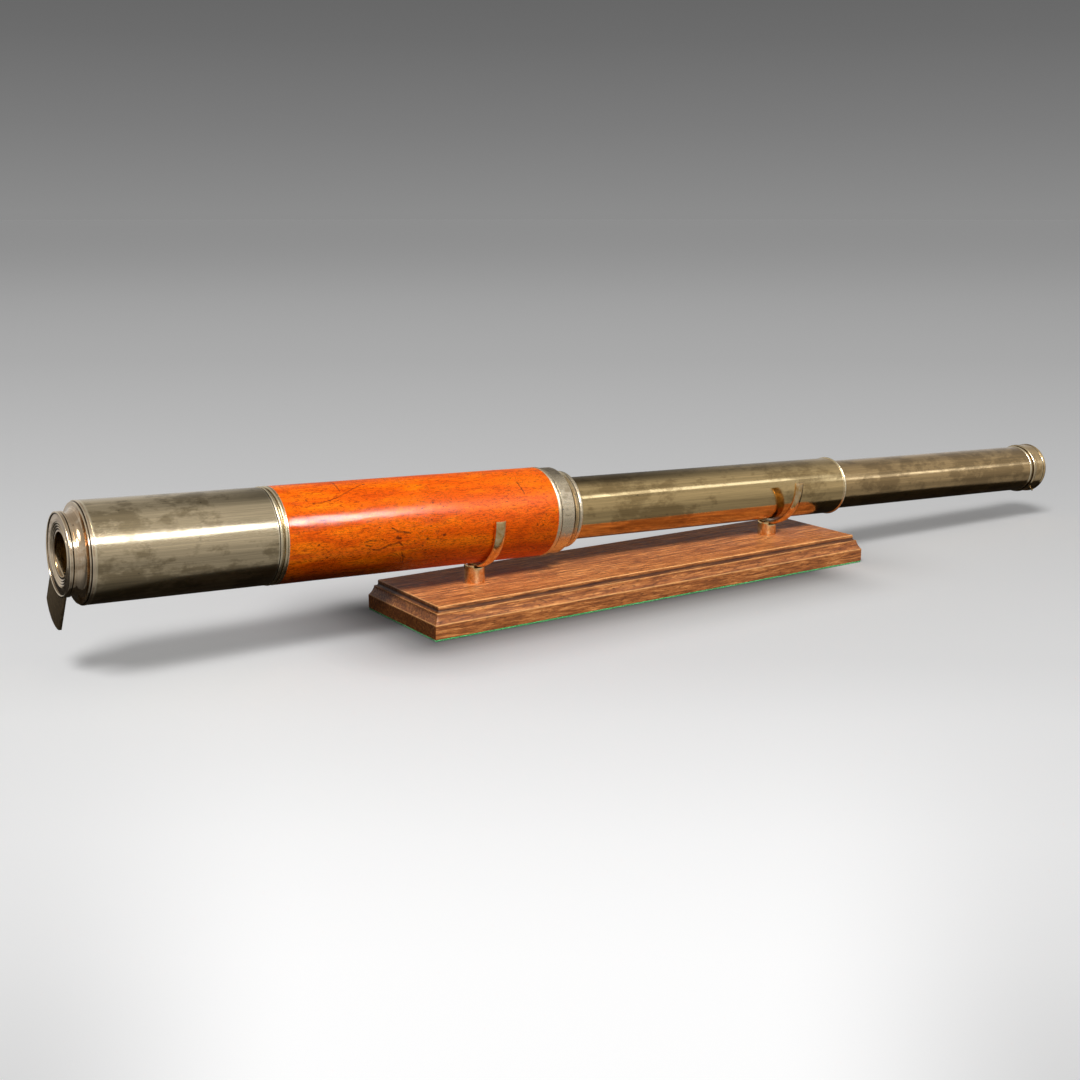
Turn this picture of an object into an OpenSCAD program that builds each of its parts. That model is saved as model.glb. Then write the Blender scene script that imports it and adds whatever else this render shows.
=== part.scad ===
// Two-draw brass and mahogany telescope, drawn out and lying on its display stand.
// Millimetres. The stand stands on z = 0 with its middle at the origin; +X runs towards the eyepiece.

/* [Stand] */
// Length of the wooden board
board_l = 400; // [360:1:440]
// Width of the wooden board
board_w = 98; // [90:1:120]
// Thickness of the wooden board
board_h = 21; // [18:0.5:26]
// Height of the upright edge below the moulding
fascia_h = 10.2; // [8:0.1:12]
// Distance the moulding comes in from that edge to the top face
moulding_in = 5.2; // [4.6:0.1:7]
// Thickness of the baize under the board
baize_t = 1.5; // [1:0.1:3]
// Distance from the middle of the board to each post
post_x = 140; // [120:1:150]
// Outside diameter of a post
post_d = 15; // [12:0.5:18]
// Width of a cradle strap
strap_w = 8; // [6:0.5:10]
// Thickness of a cradle strap
strap_t = 3; // [2:0.1:4]
// Inside radius of a cradle
cradle_r = 34.5; // [34:0.5:38]

/* [Pose on the stand] */
// Height of the telescope's axis over the middle of the board
axis_h = 64; // [60:0.5:75]
// Slope of the axis down towards the eyepiece, in degrees
axis_tilt = 2.3; // [0:0.1:3]
// Air between a cradle and what passes over it
cradle_gap = 0.3; // [0.2:0.1:1]

/* [Barrel] */
// Outside diameter of the mahogany barrel
barrel_d = 64.2; // [63.8:0.1:66]
// Front end of the mahogany, measured along the axis from the middle of the board
barrel_front = -294.4; // [-300:0.1:-290]
// Rear end of the mahogany
barrel_rear = -89; // [-95:0.1:-85]
// Bore of the mahogany
barrel_bore = 56.4; // [55:0.1:57]
// Outside diameter of the brass tube under the sunshade
objective_tube_d = 59.2; // [59:0.1:60]
// Clear diameter of the objective, two inches
objective_d = 50.8; // [48:0.1:52]

/* [Sunshade and cap] */
// Outside diameter of the sunshade
shade_d = 63.4; // [63:0.1:64]
// Wall of the sunshade
shade_wall = 1; // [0.8:0.1:1.2]
// Front end of the sunshade
shade_front = -415.6; // [-420:0.1:-412]
// Diameter of the cap's flange
flange_d = 63.6; // [63.4:0.1:65]
// Diameter of the cap's face ring
face_d = 51.8; // [50:0.1:54]
// Aperture in the cap's face
aperture_d = 27.4; // [25:0.1:28]
// Width of the shutter plate
slide_w = 29.2; // [28.6:0.1:30]
// Thickness of the shutter plate
slide_t = 1.9; // [1.5:0.1:2]
// Distance the shutter plate is pulled out
slide_out = 27.7; // [24:0.1:28]
// Direction it is pulled out in, from straight down towards the far side, in degrees
slide_angle = 30; // [0:1:360]

/* [Draws] */
// Outside diameter of the first draw
draw_1_d = 45.9; // [45:0.1:46.5]
// Outside diameter of the second draw
draw_2_d = 40.1; // [39.5:0.1:40.5]
// Wall of the draws
draw_wall = 0.8; // [0.6:0.1:0.9]
// Rear face of the first draw's end ring, drawn out
draw_1_end = 205.6; // [200:0.1:210]
// Rear end of the second draw's tube, drawn out
draw_2_end = 452; // [446:0.1:456]
// Radial clearance of a sliding fit
running = 0.06; // [0.03:0.01:0.09]

/* [Eyepiece] */
// Outside diameter of the eyepiece's plain band
head_d = 42.9; // [42:0.1:44]
// Front edge of the eyepiece's first bead
head_front = 448.3; // [440:0.1:451]
// Eye end of the telescope
eye_end = 472; // [468:0.1:475]
// Eye hole
eye_hole_d = 6.4; // [5:0.1:7]
// Swing of the eye shutter, in degrees
eye_swing = 40; // [35:1:42]

/* [Hidden] */
$fn = 96;
eps = 0.01;

brass = "#a8935f";
polished_brass = "#c69a52";
varnished_mahogany = "#d95a10";
board_mahogany = "#96562f";
green_baize = "#2e8b4f";
blackened = "#2d2925";
steel = "#8d9094";
glass = "#cfe0e6";

// Radii that several pieces share
barrel_r = barrel_d / 2;
bore_r = barrel_bore / 2;
objective_r = objective_d / 2;
objective_tube_r = objective_tube_d / 2;
objective_tube_in = objective_tube_r - 1.2;
shade_r = shade_d / 2;
shade_in = shade_r - shade_wall;
draw_1_r = draw_1_d / 2;
draw_1_in = draw_1_r - draw_wall;
draw_2_r = draw_2_d / 2;
draw_2_in = draw_2_r - draw_wall;
erector_r = 17.2;
erector_in = 16.4;
head_r = head_d / 2;

bush_r = 25.2;
collar_spigot_r = 30;
collar_screw_r = 0.7;
spigot_r = shade_in - 0.08;
erector_lens_r = 9.4;
eye_cell_r = 10.5;
eye_lens_r = 8.5;
cavity_r = head_r - 1.35;
blade_r = 5.8;
pivot_r = 13.5;
pivot_angle = -19;
pivot_pin_r = 1.2;

// Stand
board_top = baize_t + board_h;
band_sag = 0.35;
screw_r = 2;
screw_head_r = 4;
screw_sink = 5;
screw_grip = 6;
post_wall = 1.3;

// Shutter slide: from its middle to its straight inner edge when closed, and the length of its ears
closed_inner = aperture_d / 2 + 5.1;
ear_l = 3;
slide_air = 0.15;

// Stations along the axis
tube_front = shade_front + 13.1;
tube_rear = barrel_front + 32.4;
cell_front = tube_front - 2.5;
cell_rear = tube_front + 19.5;
ferrule_front = barrel_front - 2.9;
shade_rear = ferrule_front - 0.2;
shade_bead_w = 3.3;
collar_in = barrel_rear - 14;
collar_rear = barrel_rear + 24.3;
collar_lip = collar_rear - 2.8;
stop_1_front = collar_in - 7;
stop_1_w = 6;
bush_2_front = draw_1_end - 35.6;
draw_2_front = bush_2_front - 10;
face_back = shade_front - 9.2;
face_front = face_back - 4.1;
channel_front = face_back - slide_t - slide_air;
web_front = head_front + 8.7;
web_rear = web_front + 2.9;
band_end = head_front + 16.5;
blade_front = web_rear + 0.8;
blade_t = 1.2;
crown_rear = cell_front + 7.4;
flint_front = crown_rear + 0.4;
flint_rear = flint_front + 5;
erector_rear = draw_2_front + 110;
field_front = draw_2_end - 62;

// Radii of curvature of the lenses' faces, and the flat land round each face
lens_land = 1.6;
objective_curve = 320;
erector_curve = 60;
field_curve = 70;
eye_curve = 45;

// Height of the underside of a round piece of radius r, over a place x on the board
function underside(x, r) = axis_h - x * tan(axis_tilt) - r / cos(axis_tilt);
// Points of a shallow curve from p to q, which sags to the right of the way
function bowed(p, q, sag, n = 5) = let (d = q - p, side = [d[1], -d[0]] / norm(d))
    [for (i = [0:n]) let (t = i / n) p + t * d + 4 * sag * t * (1 - t) * side];
function reversed(p) = [for (i = [len(p) - 1:-1:0]) p[i]];
function both_sides(p) = concat(p, [for (q = reversed(p)) [-q[0], q[1]]]);
// Points of an arc
function arc(c, r, a0, a1, n = 10) = [for (i = [0:n]) let (a = a0 + (a1 - a0) * i / n)
    c + r * [cos(a), sin(a)]];

// Places a piece turned about Z, with its stations along Z, on the telescope's axis.
// Its own +X then points down and its +Y to the far side.
module on_axis() {
    translate([0, 0, axis_h]) rotate([0, 90 + axis_tilt, 0]) children();
}

// A plain ring from station a to station b
module ring(a, b, r_out, r_in) {
    translate([0, 0, a]) difference() {
        cylinder(r = r_out, h = b - a);
        translate([0, 0, -1]) cylinder(r = r_in, h = b - a + 2);
    }
}

// A piece turned to a profile of [radius, station] points
module turned(profile) {
    rotate_extrude() polygon(profile);
}

// Stand

// Half the section of a board w wide: fascia, hollowed band, ledge, cove and top arris
function board_profile(w) =
    let (h = w / 2, cove_r = 1.7, ledge = 0.4, cove_z = board_h - 2.6, ledge_z = cove_z - cove_r,
        ledge_x = -h + moulding_in - cove_r - ledge)
    concat([[-h, 0]], bowed([-h, fascia_h - 0.3], [ledge_x, ledge_z - 0.7], band_sag),
        [[ledge_x, ledge_z]], arc([ledge_x + ledge, cove_z], cove_r, 270, 360, 6),
        [[-h + moulding_in, board_h - 0.4], [-h + moulding_in + 0.4, board_h]]);

module stand_board() {
    color(board_mahogany) translate([0, 0, baize_t]) difference() {
        intersection() {
            rotate([90, 0, 90]) linear_extrude(board_l + 2, center = true)
                polygon(both_sides(board_profile(board_w)));
            rotate([90, 0, 0]) linear_extrude(board_w + 2, center = true)
                polygon(both_sides(board_profile(board_l)));
        }
        for (x = [-post_x, post_x]) translate([x, 0, -1]) {
            cylinder(r = screw_r, h = board_h + 2);
            cylinder(r = screw_head_r + 0.3, h = screw_sink + 1);
        }
    }
}

module baize_pad() {
    color(green_baize) translate([-board_l / 2 + 0.8, -board_w / 2 + 0.8, 0])
        cube([board_l - 1.6, board_w - 1.6, baize_t]);
}

module post_screws() {
    color(steel) for (x = [-post_x, post_x]) translate([x, 0, baize_t]) difference() {
        union() {
            translate([0, 0, screw_sink - 3]) cylinder(r = screw_head_r, h = 3);
            translate([0, 0, screw_sink]) cylinder(r = screw_r, h = board_h - screw_sink + screw_grip);
        }
        translate([-0.5, -screw_head_r - 1, screw_sink - 4]) cube([1, 2 * screw_head_r + 2, 2]);
    }
}

// Height of the inside bottom of each cradle
front_saddle = underside(-post_x, barrel_r) - (strap_w / 2) * sin(axis_tilt) - cradle_gap;
rear_saddle = underside(post_x, draw_1_r + 0.8) - (strap_w / 2) * sin(axis_tilt) - cradle_gap;

// Short post of thick tube, open at the top, where a slot holds the strap
module cradle_post(x, saddle) {
    top = saddle - 0.8;
    color(polished_brass) translate([x, 0, board_top]) difference() {
        cylinder(d = post_d, h = top - board_top);
        translate([0, 0, screw_grip + 0.5]) cylinder(r = post_d / 2 - post_wall, h = top);
        translate([0, 0, -1]) cylinder(r = screw_r, h = screw_grip + 2);
        translate([-strap_w / 2, -post_d, saddle - strap_t - board_top])
            cube([strap_w, 2 * post_d, top]);
    }
}

module front_cradle_post() { cradle_post(-post_x, front_saddle); }
module rear_cradle_post() { cradle_post(post_x, rear_saddle); }

// Section of the strap: flat inside, crowned outside
module strap_section() {
    intersection() {
        translate([0, -strap_w / 2]) square([strap_t, strap_w]);
        translate([strap_t - 7, 0]) circle(r = 7);
    }
}

module cradle(x, saddle) {
    tip = 1.5;
    color(polished_brass) translate([x, 0, saddle + cradle_r]) {
        rotate([0, -90, 0]) rotate([0, 0, 90]) rotate_extrude(angle = 180, $fn = 120)
            translate([cradle_r, 0]) strap_section();
        for (m = [0, 1]) mirror([0, m, 0]) translate([0, cradle_r, 0]) rotate([0, 0, 90])
            linear_extrude(tip) strap_section();
    }
}

module front_cradle() { cradle(-post_x, front_saddle); }
module rear_cradle() { cradle(post_x, rear_saddle); }

// Barrel

module wood_barrel() {
    color(varnished_mahogany) on_axis() turned([
        [objective_tube_r, barrel_front], [barrel_r - 0.2, barrel_front], [barrel_r, barrel_front + 0.4],
        [barrel_r, barrel_rear - 0.4], [barrel_r - 0.2, barrel_rear], [collar_spigot_r, barrel_rear],
        [collar_spigot_r, collar_in], [bore_r, collar_in], [bore_r, tube_rear],
        [objective_tube_r, tube_rear]]);
}

module objective_tube() {
    color(brass) on_axis() ring(tube_front, tube_rear, objective_tube_r, objective_tube_in);
}

module front_ferrule() {
    color(brass) on_axis() turned(concat(
        [[objective_tube_r, ferrule_front], [barrel_r - 0.8, ferrule_front]],
        arc([barrel_r - 1, ferrule_front + 1.4], 1.1, -75, 40, 6),
        [[barrel_r, barrel_front - 0.4], [barrel_r, barrel_front], [objective_tube_r, barrel_front]]));
}

// Thin bead, plain band, hollow and rounded lip
module barrel_collar() {
    bead_w = 3.5;
    band_r = barrel_r - 0.7;
    band_end = barrel_rear + 14.1;
    hollow_end = barrel_rear + 19.9;
    lip_r = 28;
    color(brass) on_axis() difference() {
        turned(concat(
            [[bush_r, collar_in], [collar_spigot_r, collar_in], [collar_spigot_r, barrel_rear],
             [barrel_r - 0.2, barrel_rear]],
            arc([barrel_r - 1.6, barrel_rear + bead_w / 2], 1.8, -60, 60, 8),
            [[band_r - 0.3, barrel_rear + bead_w], [band_r, barrel_rear + bead_w + 0.5],
             [band_r, band_end - 0.3], [band_r - 0.3, band_end]],
            arc([band_r - 0.4, hollow_end + 0.2], hollow_end - band_end, -90, -165, 8),
            [[lip_r + 0.6, hollow_end], [lip_r - 0.2, hollow_end + 0.6], [lip_r - 0.2, collar_lip]],
            arc([lip_r - 1.2, collar_rear - 1.4], 1.4, -20, 90, 8),
            [[draw_1_r + 0.15, collar_rear], [draw_1_r + 0.15, collar_lip], [bush_r, collar_lip]]));
        collar_screw_places() translate([0, 0, -1]) cylinder(r = collar_screw_r, h = 4, $fn = 24);
    }
}

// Three places round the collar, each with its own +Z pointing out of the collar
module collar_screw_places() {
    for (a = [0, 120, 240]) rotate([0, 0, a - 102]) translate([28.6, 0, barrel_rear + 4.6])
        rotate([0, 90, 0]) children();
}

module collar_screws() {
    color(steel) on_axis() collar_screw_places() translate([0, 0, -0.4])
        cylinder(r = collar_screw_r - 0.02, h = 2.4, $fn = 24);
}

module draw_1_bush() {
    color(brass) on_axis() ring(collar_in, collar_lip, bush_r, draw_1_r + running);
}

// Objective

module objective_cell() {
    color(brass) on_axis() turned([
        [objective_r - 1.2, cell_front], [spigot_r - 0.3, cell_front], [spigot_r, cell_front + 0.3],
        [spigot_r, tube_front], [objective_tube_in, tube_front], [objective_tube_in, cell_rear],
        [objective_r, cell_rear], [objective_r, cell_front + 1.2], [objective_r - 1.2, cell_front + 1.2]]);
}

// Half of a lens face, from the axis to a flat land at the rim, at height z; bulge is +1 or -1 along Z
function lens_face(r, z, curve, bulge) = let (a = asin((r - lens_land) / curve))
    [for (i = [0:6]) let (t = a * i / 6) [curve * sin(t), z + bulge * curve * (cos(t) - cos(a))], [r, z]];

// Glass between two stations at its rim, with both faces bulging out
module biconvex(a, b, r, curve) {
    turned(concat(lens_face(r, a, curve, -1), reversed(lens_face(r, b, curve, 1))));
}

module crown_lens() {
    color(glass) on_axis() biconvex(cell_front + 1.3, crown_rear, objective_r - 0.05, objective_curve);
}

module lens_spacer() {
    color(steel) on_axis() ring(crown_rear, flint_front, objective_r - 0.05, objective_r - 1.2);
}

module flint_lens() {
    color(glass) on_axis() turned(concat(lens_face(objective_r - 0.05, flint_front, objective_curve, 1),
        [[objective_r - 0.05, flint_rear], [0, flint_rear]]));
}

module lens_retaining_ring() {
    color(blackened) on_axis() ring(flint_rear, flint_rear + 3, objective_r - 0.05, objective_r - 1.5);
}

// Sunshade

module sunshade_tube() {
    color(brass) on_axis() ring(shade_front, shade_rear - shade_bead_w, shade_r, shade_in);
}

module sunshade_rear_ring() {
    bead_front = shade_rear - shade_bead_w;
    color(brass) on_axis() turned(concat(
        [[objective_tube_r + running, bead_front - 3.2], [shade_in, bead_front - 3.2],
         [shade_in, bead_front], [shade_r, bead_front]],
        arc([shade_r - 1.4, shade_rear - shade_bead_w / 2], 2, -50, 50, 8),
        [[shade_r - 0.2, shade_rear], [objective_tube_r + running, shade_rear]]));
}

// Objective cap

module cap_body() {
    neck_r = 24.8;
    cove_r = 5;
    cove_end = shade_front - 3.3;
    bore = 22;
    color(brass) on_axis() turned(concat(
        [[bore, face_back], [neck_r, face_back]],
        arc([neck_r + cove_r, cove_end - cove_r], cove_r, 180, 90, 10),
        [[flange_d / 2 - 0.9, cove_end], [flange_d / 2 - 0.9, shade_front - 1.9],
         [flange_d / 2, shade_front - 1.9], [flange_d / 2, shade_front - eps],
         [spigot_r, shade_front - eps], [spigot_r, shade_front + 8.6], [spigot_r - 1.2, shade_front + 8.6],
         [spigot_r - 1.2, shade_front - 0.6], [bore + 5.5, shade_front - 0.6], [bore, cove_end - 2]]));
}

// Room for the slide: a wide part for its ears, and a mouth that holds them in
module slide_channel() {
    depth = face_back - channel_front + 1;
    mouth_w = slide_w + 0.2;
    ears_w = mouth_w + 1.6;
    translate([0, 0, channel_front]) rotate([0, 0, slide_angle]) {
        translate([-closed_inner - 0.4, -ears_w / 2, 0]) cube([slide_out + ear_l + 0.7, ears_w, depth]);
        translate([0, -mouth_w / 2, 0]) cube([face_d, mouth_w, depth]);
    }
}

module cap_face_ring() {
    r = face_d / 2;
    hole = aperture_d / 2;
    rim = 1.2;
    steps = [for (i = [0:2]) each [[19.6 - 1.6 * i, face_front + 0.95 + 0.15 * i],
        [18.2 - 1.6 * i, face_front + 0.95 + 0.15 * i]]];
    color(brass) on_axis() difference() {
        turned(concat(
            [[hole, face_back], [r - 0.2, face_back], [r, face_back - 0.2], [r, face_back - 1.3],
             [r - 0.5, face_back - 1.6], [r - 0.5, face_back - 1.9], [r, face_back - 2.2],
             [r, face_front + 0.4], [r - 0.4, face_front], [r - rim, face_front],
             [r - rim - 0.3, face_front + 0.6], [19.8, face_front + 0.7]],
            steps, [[hole, face_front + 1.55]]));
        slide_channel();
    }
}

// The plate's outer end is rounded to the edge of the face ring, which it closes up to
module shutter_slide() {
    inner = slide_out - closed_inner;
    ears_w = slide_w + 1.5;
    color(brass) on_axis() translate([0, 0, channel_front + slide_air / 3]) rotate([0, 0, slide_angle]) {
        intersection() {
            translate([slide_out, 0, 0]) cylinder(d = face_d, h = slide_t);
            translate([inner, -slide_w / 2, 0]) cube([face_d, slide_w, slide_t]);
        }
        translate([inner, -ears_w / 2, 0]) cube([ear_l, ears_w, slide_t]);
    }
}

// First draw

module draw_1_tube() {
    color(brass) on_axis() ring(stop_1_front, draw_1_end - 1.4, draw_1_r, draw_1_in);
}

module draw_1_end_ring() {
    color(brass) on_axis() turned(concat(
        [[draw_2_r + running + 0.05, draw_1_end - 1.4], [draw_1_r, draw_1_end - 1.4]],
        arc([draw_1_r + 0.1, draw_1_end - 0.7], 0.7, -80, 80, 6),
        [[draw_1_r - 0.4, draw_1_end], [draw_2_r + running + 0.05, draw_1_end]]));
}

module draw_1_stop_ring() {
    color(brass) on_axis() ring(stop_1_front, stop_1_front + stop_1_w, 26.5, draw_1_r);
}

module draw_1_diaphragm() {
    color(blackened) on_axis() ring(stop_1_front + 12, stop_1_front + 13, draw_1_in, 14);
}

module draw_2_bush() {
    color(brass) on_axis() ring(bush_2_front, draw_1_end - 1.4, draw_1_in, draw_2_r + running);
}

// Second draw

module draw_2_tube() {
    color(brass) on_axis() ring(draw_2_front, draw_2_end, draw_2_r, draw_2_in);
}

module draw_2_stop_ring() {
    color(brass) on_axis() ring(draw_2_front, draw_2_front + 6, draw_1_in - 0.35, draw_2_r);
}

module erector_mount_ring() {
    color(brass) on_axis() ring(draw_2_front, draw_2_front + 6, draw_2_in, erector_r);
}

module erector_tube() {
    color(brass) on_axis() ring(draw_2_front, erector_rear, erector_r, erector_in);
}

// Cell with a shoulder that its lens lies against
module erector_cell(a) {
    ring(a, a + 6, erector_in, erector_lens_r);
    ring(a + 5, a + 6, erector_lens_r + eps, erector_lens_r - 1);
}

module erector_front_cell() { color(brass) on_axis() erector_cell(draw_2_front + 3); }
module erector_rear_cell() { color(brass) on_axis() erector_cell(erector_rear - 9); }

module erector_lens(a) {
    color(glass) on_axis() biconvex(a, a + 2.6, erector_lens_r - 0.05, erector_curve);
}

module erector_front_lens() { erector_lens(draw_2_front + 5.4); }
module erector_rear_lens() { erector_lens(erector_rear - 6.6); }

module erector_stop() {
    color(blackened) on_axis() ring(draw_2_front + 54, draw_2_front + 55, erector_in, 3);
}

// Eyepiece

module eyepiece_tube() {
    color(brass) on_axis() ring(field_front, web_front, erector_r, erector_in);
}

module field_lens() {
    color(glass) on_axis() biconvex(field_front + 3, field_front + 5.5, erector_in - 0.05, field_curve);
}

module field_lens_ring() {
    color(brass) on_axis() ring(field_front + 5.5, field_front + 9, erector_in, erector_in - 1);
}

module eyepiece_stop() {
    color(blackened) on_axis() ring(field_front + 36, field_front + 37, erector_in, 6);
}

module eye_lens_cell() {
    color(brass) on_axis() {
        ring(web_front - 9, web_rear, eye_cell_r, eye_lens_r);
        ring(web_rear - 1, web_rear, eye_lens_r + eps, eye_lens_r - 1.1);
    }
}

module eye_lens() {
    color(glass) on_axis() biconvex(web_rear - 4.4, web_rear - 1.8, eye_lens_r - 0.05, eye_curve);
}

module eyepiece_head() {
    bead_1 = draw_2_r + 0.75;
    bead_2 = head_r + 0.35;
    s = head_front;
    color(brass) on_axis() difference() {
        turned(concat(
            [[draw_2_r, s]], arc([bead_1 - 1, s + 1], 1, -60, 60, 6),
            [[draw_2_r + 0.3, s + 2.1], [draw_2_r + 0.3, s + 4]],
            arc([bead_2 - 1.4, s + 5.4], 1.4, -70, 70, 8),
            [[head_r, s + 6.9], [head_r, band_end], [cavity_r, band_end], [cavity_r, web_rear],
             [eye_cell_r, web_rear], [eye_cell_r, web_front], [draw_2_in, web_front],
             [draw_2_in, draw_2_end], [draw_2_r, draw_2_end]]));
        // Slot that the knob of the eye shutter stands out of
        rotate([0, 0, pivot_angle - 25]) rotate_extrude(angle = 31)
            translate([cavity_r - 1, blade_front + blade_t / 2 - 1.2]) square([4, 2.4]);
        pivot_place() translate([0, 0, web_front - 1]) cylinder(r = pivot_pin_r, h = 6);
    }
}

module eye_cap() {
    hole = eye_hole_d / 2;
    bead_r = head_r + 0.55;
    color(brass) on_axis() turned(concat(
        [[hole, blade_front + blade_t + 0.8], [cavity_r, blade_front + blade_t + 0.8],
         [cavity_r, band_end + eps], [head_r - 0.1, band_end + eps]],
        arc([bead_r - 2.3, band_end + 2.5], 2.3, -60, 62, 10),
        arc([head_r - 4.6, eye_end - 3], 3, 50, 90, 5),
        [[15, eye_end - 0.9], [8.5, eye_end - 5.2], [hole + 0.4, eye_end - 6.8]]));
}

// Pivot of the eye shutter
module pivot_place() {
    rotate([0, 0, pivot_angle]) translate([pivot_r, 0, 0]) children();
}

module eye_shutter_pivot() {
    color(steel) on_axis() pivot_place() {
        translate([0, 0, web_front]) cylinder(r = pivot_pin_r, h = blade_front + blade_t - web_front + 0.2);
        translate([0, 0, blade_front + blade_t + 0.1]) cylinder(r = 2, h = 0.5);
    }
}

// Frame of the eye shutter at rest: the origin on the pivot, +X along the lever to the knob
module lever_place() {
    pivot_place() rotate([0, 0, -eye_swing]) children();
}

module eye_shutter_plate() {
    color(brass) on_axis() lever_place() translate([0, 0, blade_front]) difference() {
        union() {
            translate([-pivot_r, 0, 0]) cylinder(r = blade_r, h = blade_t);
            translate([-pivot_r, -1.6, 0]) cube([pivot_r + 4.6, 3.2, blade_t]);
            cylinder(r = 2.6, h = blade_t);
            translate([4.6, 0, 0]) cylinder(r = 1.6, h = blade_t);
        }
        translate([0, 0, -1]) cylinder(r = pivot_pin_r + running, h = blade_t + 2);
    }
}

module eye_shutter_knob() {
    color(brass) on_axis() lever_place() translate([6.2, 0, blade_front + blade_t / 2])
        rotate([0, 90, 0]) {
            cylinder(r = 1, h = 5.4, $fn = 32);
            translate([0, 0, 5.4]) sphere(r = 1, $fn = 32);
        }
}

stand_board();
baize_pad();
front_cradle_post();
rear_cradle_post();
front_cradle();
rear_cradle();
post_screws();
wood_barrel();
objective_tube();
front_ferrule();
barrel_collar();
draw_1_bush();
collar_screws();
objective_cell();
crown_lens();
lens_spacer();
flint_lens();
lens_retaining_ring();
sunshade_tube();
sunshade_rear_ring();
cap_body();
cap_face_ring();
shutter_slide();
draw_1_tube();
draw_1_end_ring();
draw_1_stop_ring();
draw_1_diaphragm();
draw_2_bush();
draw_2_tube();
draw_2_stop_ring();
erector_mount_ring();
erector_tube();
erector_front_cell();
erector_front_lens();
erector_stop();
erector_rear_cell();
erector_rear_lens();
eyepiece_tube();
field_lens();
field_lens_ring();
eyepiece_stop();
eye_lens_cell();
eye_lens();
eyepiece_head();
eye_cap();
eye_shutter_pivot();
eye_shutter_plate();
eye_shutter_knob();
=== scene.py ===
import math

import bmesh
import bpy
import numpy as np
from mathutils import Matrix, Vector


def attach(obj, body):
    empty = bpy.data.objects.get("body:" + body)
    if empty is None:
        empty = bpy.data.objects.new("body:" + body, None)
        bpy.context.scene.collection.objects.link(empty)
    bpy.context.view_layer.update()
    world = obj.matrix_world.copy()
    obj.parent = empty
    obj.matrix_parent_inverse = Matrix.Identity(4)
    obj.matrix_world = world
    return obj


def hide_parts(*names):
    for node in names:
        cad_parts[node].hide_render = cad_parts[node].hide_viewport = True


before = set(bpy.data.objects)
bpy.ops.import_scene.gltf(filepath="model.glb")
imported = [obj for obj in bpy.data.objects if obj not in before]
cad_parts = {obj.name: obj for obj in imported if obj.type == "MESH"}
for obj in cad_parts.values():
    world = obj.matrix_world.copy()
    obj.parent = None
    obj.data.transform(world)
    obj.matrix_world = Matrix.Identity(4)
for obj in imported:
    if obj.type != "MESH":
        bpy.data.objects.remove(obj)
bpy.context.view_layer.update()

# Viewpoint
# The telescope is seen from in front and to the left of the objective, a little above the stand,
# with a short telephoto lens.
camera = bpy.data.objects.new("camera", bpy.data.cameras.new("camera"))
camera.data.sensor_width = 36
camera.data.lens = 47.155
camera.data.clip_start = 0.05
camera.data.clip_end = 200
camera.location = (-0.64495, -0.83778, 0.27918)
camera.rotation_euler = (math.radians(90 - 13.036), 0, math.radians(-33.814))
bpy.context.scene.collection.objects.link(camera)
bpy.context.scene.camera = camera
bpy.context.scene.view_settings.view_transform = "Standard"


# Floor and backdrop
# A pale floor that darkens evenly into the distance and runs on to the horizon. It takes only the
# camera's view and the shadows, because the metal mirrors a darker table.
def linear(hex_colour):
    """An sRGB hex colour as linear RGBA."""
    parts = [int(hex_colour[i:i + 2], 16) / 255 for i in (1, 3, 5)]
    return (*[p / 12.92 if p <= 0.04045 else ((p + 0.055) / 1.055) ** 2.4 for p in parts], 1)


def add(tree, kind, into=None, **settings):
    """A new node with its settings. into gives its inputs: values, hex colours or other nodes' outputs."""
    node = tree.nodes.new(kind)
    for key, value in settings.items():
        setattr(node, key, value)
    for key, value in (into or {}).items():
        if isinstance(value, bpy.types.NodeSocket):
            tree.links.new(value, node.inputs[key])
        else:
            node.inputs[key].default_value = linear(value) if isinstance(value, str) else value
    return node


def calc(tree, operation, *values, **settings):
    """What one sum makes of one, two or three numbers."""
    return add(tree, "ShaderNodeMath", dict(enumerate(values)), operation=operation, **settings).outputs[0]


def vector(tree, operation, *values):
    """What one sum makes of one or two vectors."""
    node = add(tree, "ShaderNodeVectorMath", dict(enumerate(values)), operation=operation)
    return node.outputs["Value" if operation in ("LENGTH", "DOT_PRODUCT") else "Vector"]


def ranged(tree, value, low, high, to_low=0.0, to_high=1.0, **settings):
    """A number moved from the range low to high into another, and held there."""
    return add(tree, "ShaderNodeMapRange", dict(enumerate((value, low, high, to_low, to_high))),
               **settings).outputs[0]


def mix(tree, factor, first, second, blend="MIX"):
    """The first colour with as much of the second in it as the factor says."""
    return add(tree, "ShaderNodeMix", {0: factor, 6: first, 7: second}, data_type="RGBA",
               blend_type=blend).outputs[2]


def ramp(tree, value, stops):
    """A number as a colour, by stops of position and grey level or hex colour."""
    node = add(tree, "ShaderNodeValToRGB", {"Fac": value})
    elements = node.color_ramp.elements
    while len(elements) < len(stops):
        elements.new(1)
    for element, (position, colour) in zip(elements, stops):
        element.position = position
        element.color = linear(colour) if isinstance(colour, str) else (colour, colour, colour, 1)
    return node.outputs["Color"]


def empty_material(name):
    """A material with no nodes yet, and its tree."""
    material = bpy.data.materials.new(name)
    material.use_nodes = True
    material.node_tree.nodes.clear()
    return material, material.node_tree


def flat_mesh(name, corners, faces=None):
    """A mesh object with its points given in metres."""
    mesh = bpy.data.meshes.new(name)
    mesh.from_pydata([tuple(c) for c in corners], [], faces or [tuple(range(len(corners)))])
    mesh.update()
    piece = bpy.data.objects.new(name, mesh)
    bpy.context.scene.collection.objects.link(piece)
    return piece


def unseen(piece, *rays):
    """Hides a thing from some kinds of ray."""
    for ray in rays:
        setattr(piece, "visible_" + ray, False)


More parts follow.
